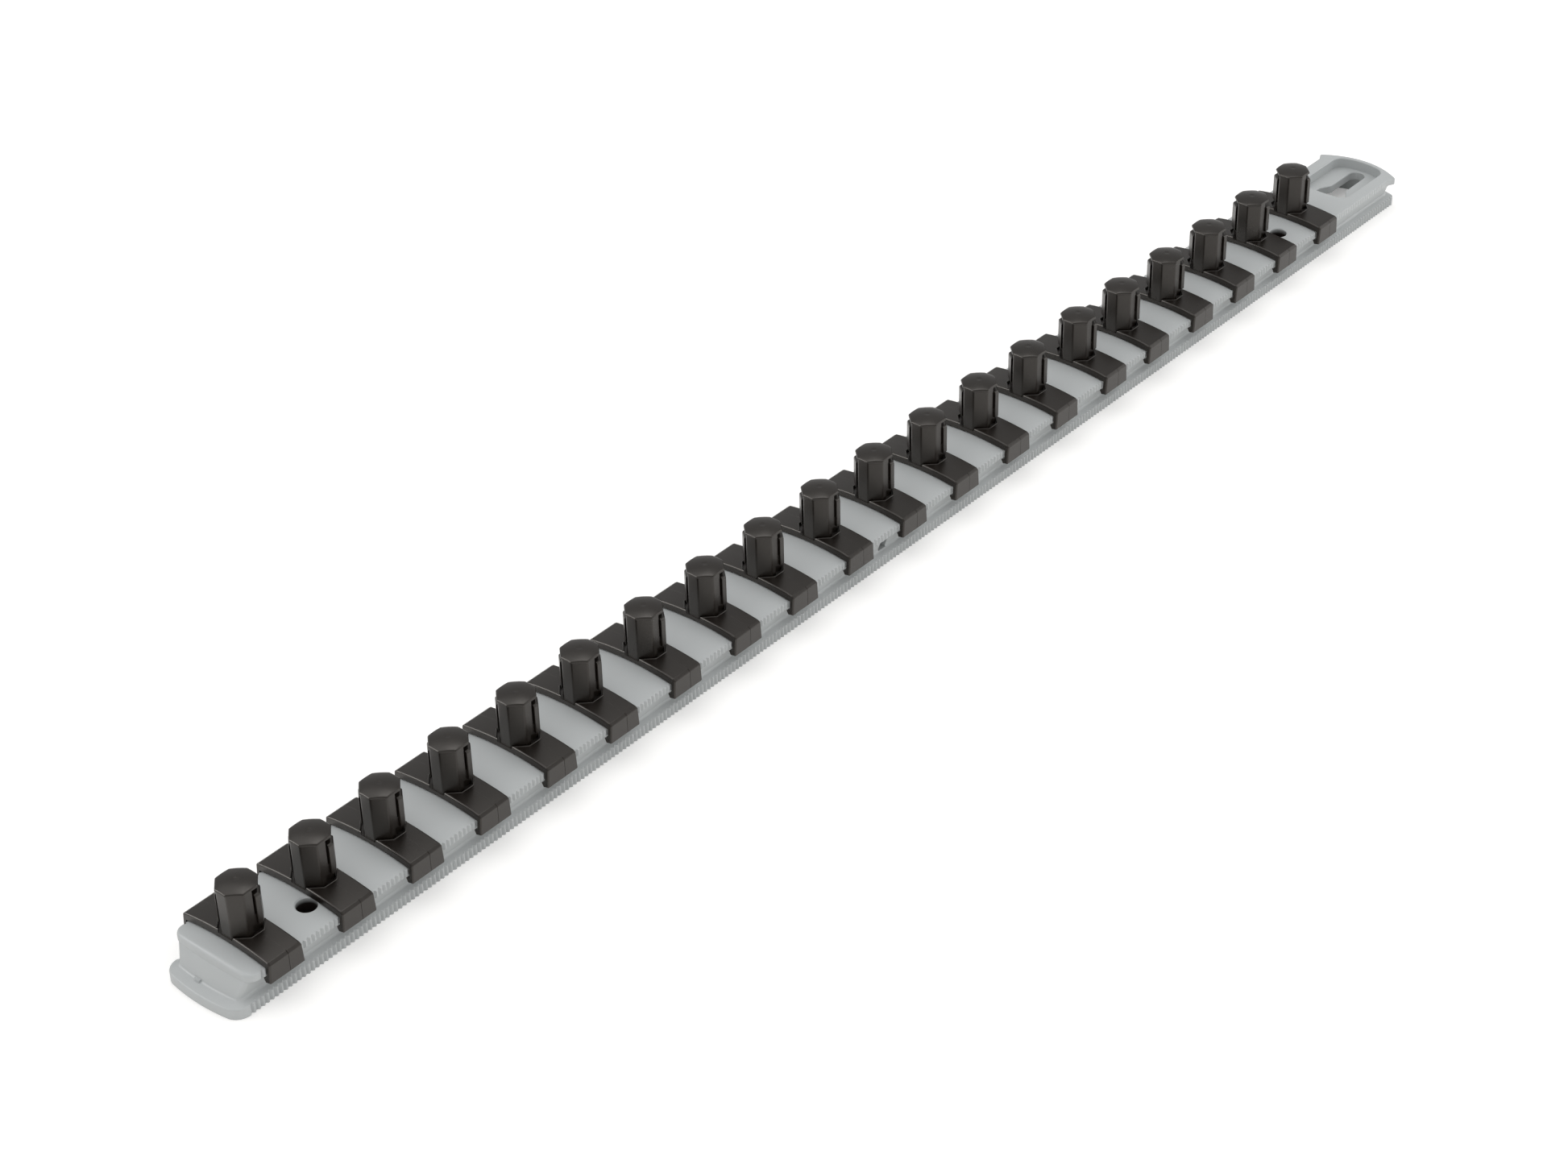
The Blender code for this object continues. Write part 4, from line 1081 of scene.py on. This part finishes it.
def bead_mesh(sizes):
    """Fine raised bead along the well's rim on the -Y wing, half sunk in the saddle's top."""
    side_y = WELL_HALF_WIDTH * WELL_FLAT_SHARES[1]
    flat_x = WELL_HALF_LENGTH * WELL_FLAT_SHARES[0]
    end = CLIP_HALF_LENGTH - sizes.end_draft * (saddle_top(side_y) - SKIRT_FOOT) - sizes.end_round
    share = (end - flat_x) / (WELL_HALF_LENGTH - flat_x)
    end_y = WELL_HALF_WIDTH + (side_y - WELL_HALF_WIDTH) * share
    path = [(-end, -end_y), (-flat_x, -WELL_HALF_WIDTH), (flat_x, -WELL_HALF_WIDTH), (end, -end_y)]
    rings = []
    for point, run in zip(path, directions(path)):
        across = Vector((-run.y, run.x))
        centre = Vector(point) - across * sizes.bead_radius
        ring = []
        for turn in (2 * math.pi * step / BEAD_STEPS for step in range(BEAD_STEPS)):
            place = centre + across * (sizes.bead_radius * math.cos(turn))
            rise = sizes.bead_radius * (math.sin(turn) - BEAD_SUNK_SHARE)
            ring.append((place.x, place.y, saddle_top(centre.y) + rise))
        rings.append(ring)
    return loft("bead", rings)


def parting_mesh(sizes):
    """Tool for the fine line that the mould's halves leave over the saddle and down both skirts."""
    half = saddle_outer(sizes)
    line = mirrored(half)[:-1] + half
    width = sizes.parting_width
    rings = []
    for (y, z), run in zip(line, directions(line)):
        out = Vector((-run.y, run.x))
        share = PARTING_TOP_SHARE if z > SADDLE_EDGE_HEIGHT else PARTING_SKIRT_SHARE
        high = Vector((y, z)) + out * width
        low = Vector((y, z)) - out * (width * share)
        rings.append([(PARTING_PLACE - width, *high), (PARTING_PLACE + width, *high), (PARTING_PLACE, *low)])
    return loft("parting", rings)


def cap_mesh(sizes):
    """Domed cap: an octagon at its rim that runs into a circle round the gate mark."""
    edge = sizes.cap_round
    corners = octagon(CAP_HALF_LENGTH, CAP_HALF_WIDTH)
    base = filled_in(rounded(corners, edge * CAP_CORNER_SHARE), CAP_POINT_SPACING)
    under = edge * CAP_UNDER_SHARE
    reach = math.hypot(CAP_HALF_LENGTH, CAP_HALF_WIDTH * OCTAGON_FLAT_SHARES[1])
    dome = sizes.cap_dome / reach ** 2
    foot = CLIP_TOP - sizes.cap_dome - sizes.cap_rim
    rings = [at_height(inset(base, under), foot), at_height(base, foot + under)]
    for drawn_in, risen in quarter():
        ring = inset(base, edge * drawn_in)
        rings.append([(x, y, CLIP_TOP - dome * (x * x + y * y) - edge * (1 - risen)) for x, y in ring])
    top_ring = inset(base, edge)
    for share in CAP_SHARES:
        blend = share ** 2
        ring = []
        for x, y in top_ring:
            radius = blend + (1 - blend) * CAP_HALF_LENGTH / math.hypot(x, y)
            ring.append((x * share * radius, y * share * radius))
        sunk = GATE_MARK_DEPTH if share == CAP_SHARES[-1] else 0.0
        rings.append([(x, y, CLIP_TOP - dome * (x * x + y * y) - sunk) for x, y in ring])
    return loft("cap", rings)


def arm_corner(drawn_in):
    """Plan of one sprung arm at the post's +X, -Y corner, its outer faces drawn in."""
    outer_x = ARM_HALF_LENGTH - drawn_in
    outer_y = ARM_HALF_WIDTH - drawn_in
    inner_x = SLIT_X + SLIT_X_WIDTH / 2
    inner_y = SLIT_Y + SLIT_Y_WIDTH / 2
    bevel_x = outer_x * OCTAGON_FLAT_SHARES[0]
    bevel_y = outer_y * OCTAGON_FLAT_SHARES[1]
    lean = (outer_x - bevel_x) / (outer_y - bevel_y)
    corners = [(inner_x, -outer_y), (bevel_x, -outer_y), (outer_x - lean * (inner_y - bevel_y), -inner_y),
               (inner_x, -inner_y)]
    return rounded(corners, SLIT_X_WIDTH / 2)


def arm_meshes(sizes):
    """The corner space, the notch and the arm itself, each for one corner of the post."""
    past_x = CAP_HALF_LENGTH + OVERRUN
    past_y = -CAP_HALF_WIDTH - OVERRUN
    near_x = SLIT_X - SLIT_X_WIDTH / 2
    near_y = -SLIT_Y + SLIT_Y_WIDTH / 2
    top = CAP_UNDERSIDE - ARM_TOP_GAP
    foot = top - ARM_HEIGHT
    space = box_mesh("space", (near_x, past_y, top - SLIT_LENGTH),
                     (past_x, near_y, CAP_UNDERSIDE + OVERRUN * 2))
    notch = box_mesh("notch", (NOTCH_START, past_y, WELL_FLOOR - OVERRUN / 2),
                     (past_x, NOTCH_DEPTH - POST_HALF_WIDTH, foot))
    radius = sizes.arm_round
    rings = [at_height(arm_corner(0.0), foot)]
    for drawn_in, risen in quarter():
        rings.append(at_height(arm_corner(radius * drawn_in), top - radius * (1 - risen)))
    return space, notch, loft("arm", rings)


def post_mesh(sizes):
    """Octagonal post with its two sprung arms and its cap, in its place on the saddle."""
    outline = rounded(octagon(POST_HALF_LENGTH, POST_HALF_WIDTH), sizes.post_corner)
    rings = [at_height(outline, WELL_FLOOR - OVERRUN), at_height(outline, CAP_UNDERSIDE + OVERRUN)]
    space, notch, arm = arm_meshes(sizes)
    changes = [(both_ways(space), "DIFFERENCE"), (both_ways(notch), "DIFFERENCE"), (both_ways(arm), "UNION"),
               (cap_mesh(sizes), "UNION")]
    post = worked_over(place_mesh("post_in_work", loft("post", rings)), changes)
    post.name = "standing_post"
    post.transform(Matrix.Translation(POST_PLACE))
    return post


def clip_mesh(sizes):
    """One whole clip at the rail's middle."""
    clip = place_mesh("clip_in_work", saddle_mesh(sizes))
    changes = [(parting_mesh(sizes), "DIFFERENCE"), (well_mesh(sizes), "DIFFERENCE"),
               (both_ways(bead_mesh(sizes)), "UNION"), (post_mesh(sizes), "UNION")]
    return worked_over(clip, changes)


def soft_lamp(name, place, size, power):
    """A large rectangular lamp that faces the middle of the rail."""
    light = bpy.data.lights.new(name, "AREA")
    light.shape = "RECTANGLE"
    light.size, light.size_y = size
    light.energy = power
    lamp = bpy.data.objects.new(name, light)
    lamp.location = place
    lamp.rotation_euler = (-Vector(place)).to_track_quat("-Z", "Y").to_euler()
    bpy.context.scene.collection.objects.link(lamp)
    return lamp


def square_mesh(side):
    """The floor's one square face."""
    reach = side / 2
    shape = bmesh.new()
    corners = ((-reach, -reach, 0.0), (reach, -reach, 0.0), (reach, reach, 0.0), (-reach, reach, 0.0))
    shape.faces.new([shape.verts.new(corner) for corner in corners])
    return mesh_from("floor", shape)


def even_sky(sky, gloss_sky):
    """A world that is white to the camera, with one brightness in gloss and one for the rest."""
    world = bpy.data.worlds.new("even_sky")
    world.use_nodes = True
    world.node_tree.nodes.clear()
    board = Board(world.node_tree)
    seen = board.add("ShaderNodeLightPath", output="Is Camera Ray")
    in_gloss = board.add("ShaderNodeLightPath", output="Is Glossy Ray")
    around = board.mix(in_gloss, scaled(WHITE, sky), scaled(WHITE, gloss_sky))
    light = board.add("ShaderNodeBackground", {}, {"Color": board.mix(seen, around, WHITE), "Strength": 1.0})
    board.add("ShaderNodeOutputWorld", {}, {"Surface": light}, output=None)
    return world


def photograph_camera():
    """A camera where the photograph's camera stood."""
    lens = bpy.data.cameras.new("camera")
    lens.lens = CAMERA_LENS
    lens.shift_x, lens.shift_y = CAMERA_SHIFT
    lens.clip_start, lens.clip_end = CAMERA_CLIP
    camera = bpy.data.objects.new("camera", lens)
    camera.location = CAMERA_PLACE
    camera.rotation_euler = [math.radians(angle) for angle in CAMERA_TURN]
    bpy.context.scene.collection.objects.link(camera)
    return camera


class SOCKETRAIL_OT_rail(bpy.types.Operator):
    """Build the grey rail with its teeth, holes and hanging plate"""
    bl_idname = "socket_rail.rail"
    bl_label = "Rail"

    def execute(self, context):
        work = context.scene.socket_rail
        finish = work.finish
        # The rail's plastic carries painted shade deep in its screw holes
        plastic = moulded_plastic("rail_plastic", finish.rail_colour, finish.rail_roughness, finish.grain,
                                  RAIL_CONTRAST, RAIL_SHEEN, painted_hole_shade)
        mesh = smooth_finish("rail_in_work", rail_mesh(work.rail), plastic)
        set_on_body("rail_moulding", mesh, "rail", "rail")
        return {"FINISHED"}


class SOCKETRAIL_OT_clips(bpy.types.Operator):
    """Build the charcoal clips, each on its own sliding body"""
    bl_idname = "socket_rail.clips"
    bl_label = "Clips"

    def execute(self, context):
        work = context.scene.socket_rail
        finish = work.finish
        plastic = moulded_plastic("clip_plastic", finish.clip_colour, finish.clip_roughness, finish.grain,
                                  CLIP_CONTRAST, CLIP_SHEEN)
        pattern = smooth_finish("clip_in_work", clip_mesh(work.clip), plastic)
        for name in CLIP_NAMES:
            low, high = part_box(name)
            mesh = pattern.copy()
            mesh.transform(Matrix.Translation(((low.x + high.x) / 2, 0.0, 0.0)))
            set_on_body(name + "_moulding", mesh, name, name)
        return {"FINISHED"}


class SOCKETRAIL_OT_stage(bpy.types.Operator):
    """Set the white floor, the soft light and the photograph's camera"""
    bl_idname = "socket_rail.stage"
    bl_label = "Stage"

    def execute(self, context):
        stage = context.scene.socket_rail.stage
        floor = place_mesh("floor", square_mesh(stage.floor_size))
        floor.data.materials.append(floor_white(stage.floor_glow))
        context.scene.world = even_sky(stage.sky, stage.gloss_sky)
        soft_lamp("overhead", *OVERHEAD_LAMP, stage.key_power)
        soft_lamp("side", *SIDE_LAMP, stage.side_power)
        edge_sheen = soft_lamp("edge_sheen", *EDGE_SHEEN_LAMP, stage.sheen_power)
        bead_sheen = soft_lamp("bead_sheen", *BEAD_SHEEN_LAMP, stage.sheen_power * BEAD_SHEEN_SHARE)
        edge_sheen.visible_diffuse = False
        bead_sheen.visible_diffuse = False
        context.scene.camera = photograph_camera()
        context.scene.view_settings.view_transform = "Standard"
        return {"FINISHED"}


class SOCKETRAIL_PT_panel(bpy.types.Panel):
    """Sizes and colours of the socket rail"""
    bl_idname = "SOCKETRAIL_PT_panel"
    bl_label = "Socket rail"
    bl_space_type = "VIEW_3D"
    bl_region_type = "UI"
    bl_category = "Socket rail"

    def draw(self, context):
        work = context.scene.socket_rail
        for title, group in (("Rail", work.rail), ("Clips", work.clip), ("Finish", work.finish),
                             ("Stage", work.stage)):
            box = self.layout.box()
            box.label(text=title)
            for name in group.__annotations__:
                box.prop(group, name)
        for operator in BUILD_ORDER:
            self.layout.operator(operator.bl_idname)


BUILD_ORDER = (SOCKETRAIL_OT_rail, SOCKETRAIL_OT_clips, SOCKETRAIL_OT_stage)
CLASSES = (RailSizes, ClipSizes, Finish, Stage, Work, *BUILD_ORDER, SOCKETRAIL_PT_panel)


def register():
    """Make the settings, operators and panel known to Blender."""
    for kind in CLASSES:
        bpy.utils.register_class(kind)
    bpy.types.Scene.socket_rail = PointerProperty(type=Work)


def unregister():
    """Take them away again."""
    del bpy.types.Scene.socket_rail
    for kind in reversed(CLASSES):
        bpy.utils.unregister_class(kind)


def main():
    """Build everything."""
    register()
    bpy.ops.socket_rail.rail()
    bpy.ops.socket_rail.clips()
    bpy.ops.socket_rail.stage()


if __name__ == "__main__":
    main()
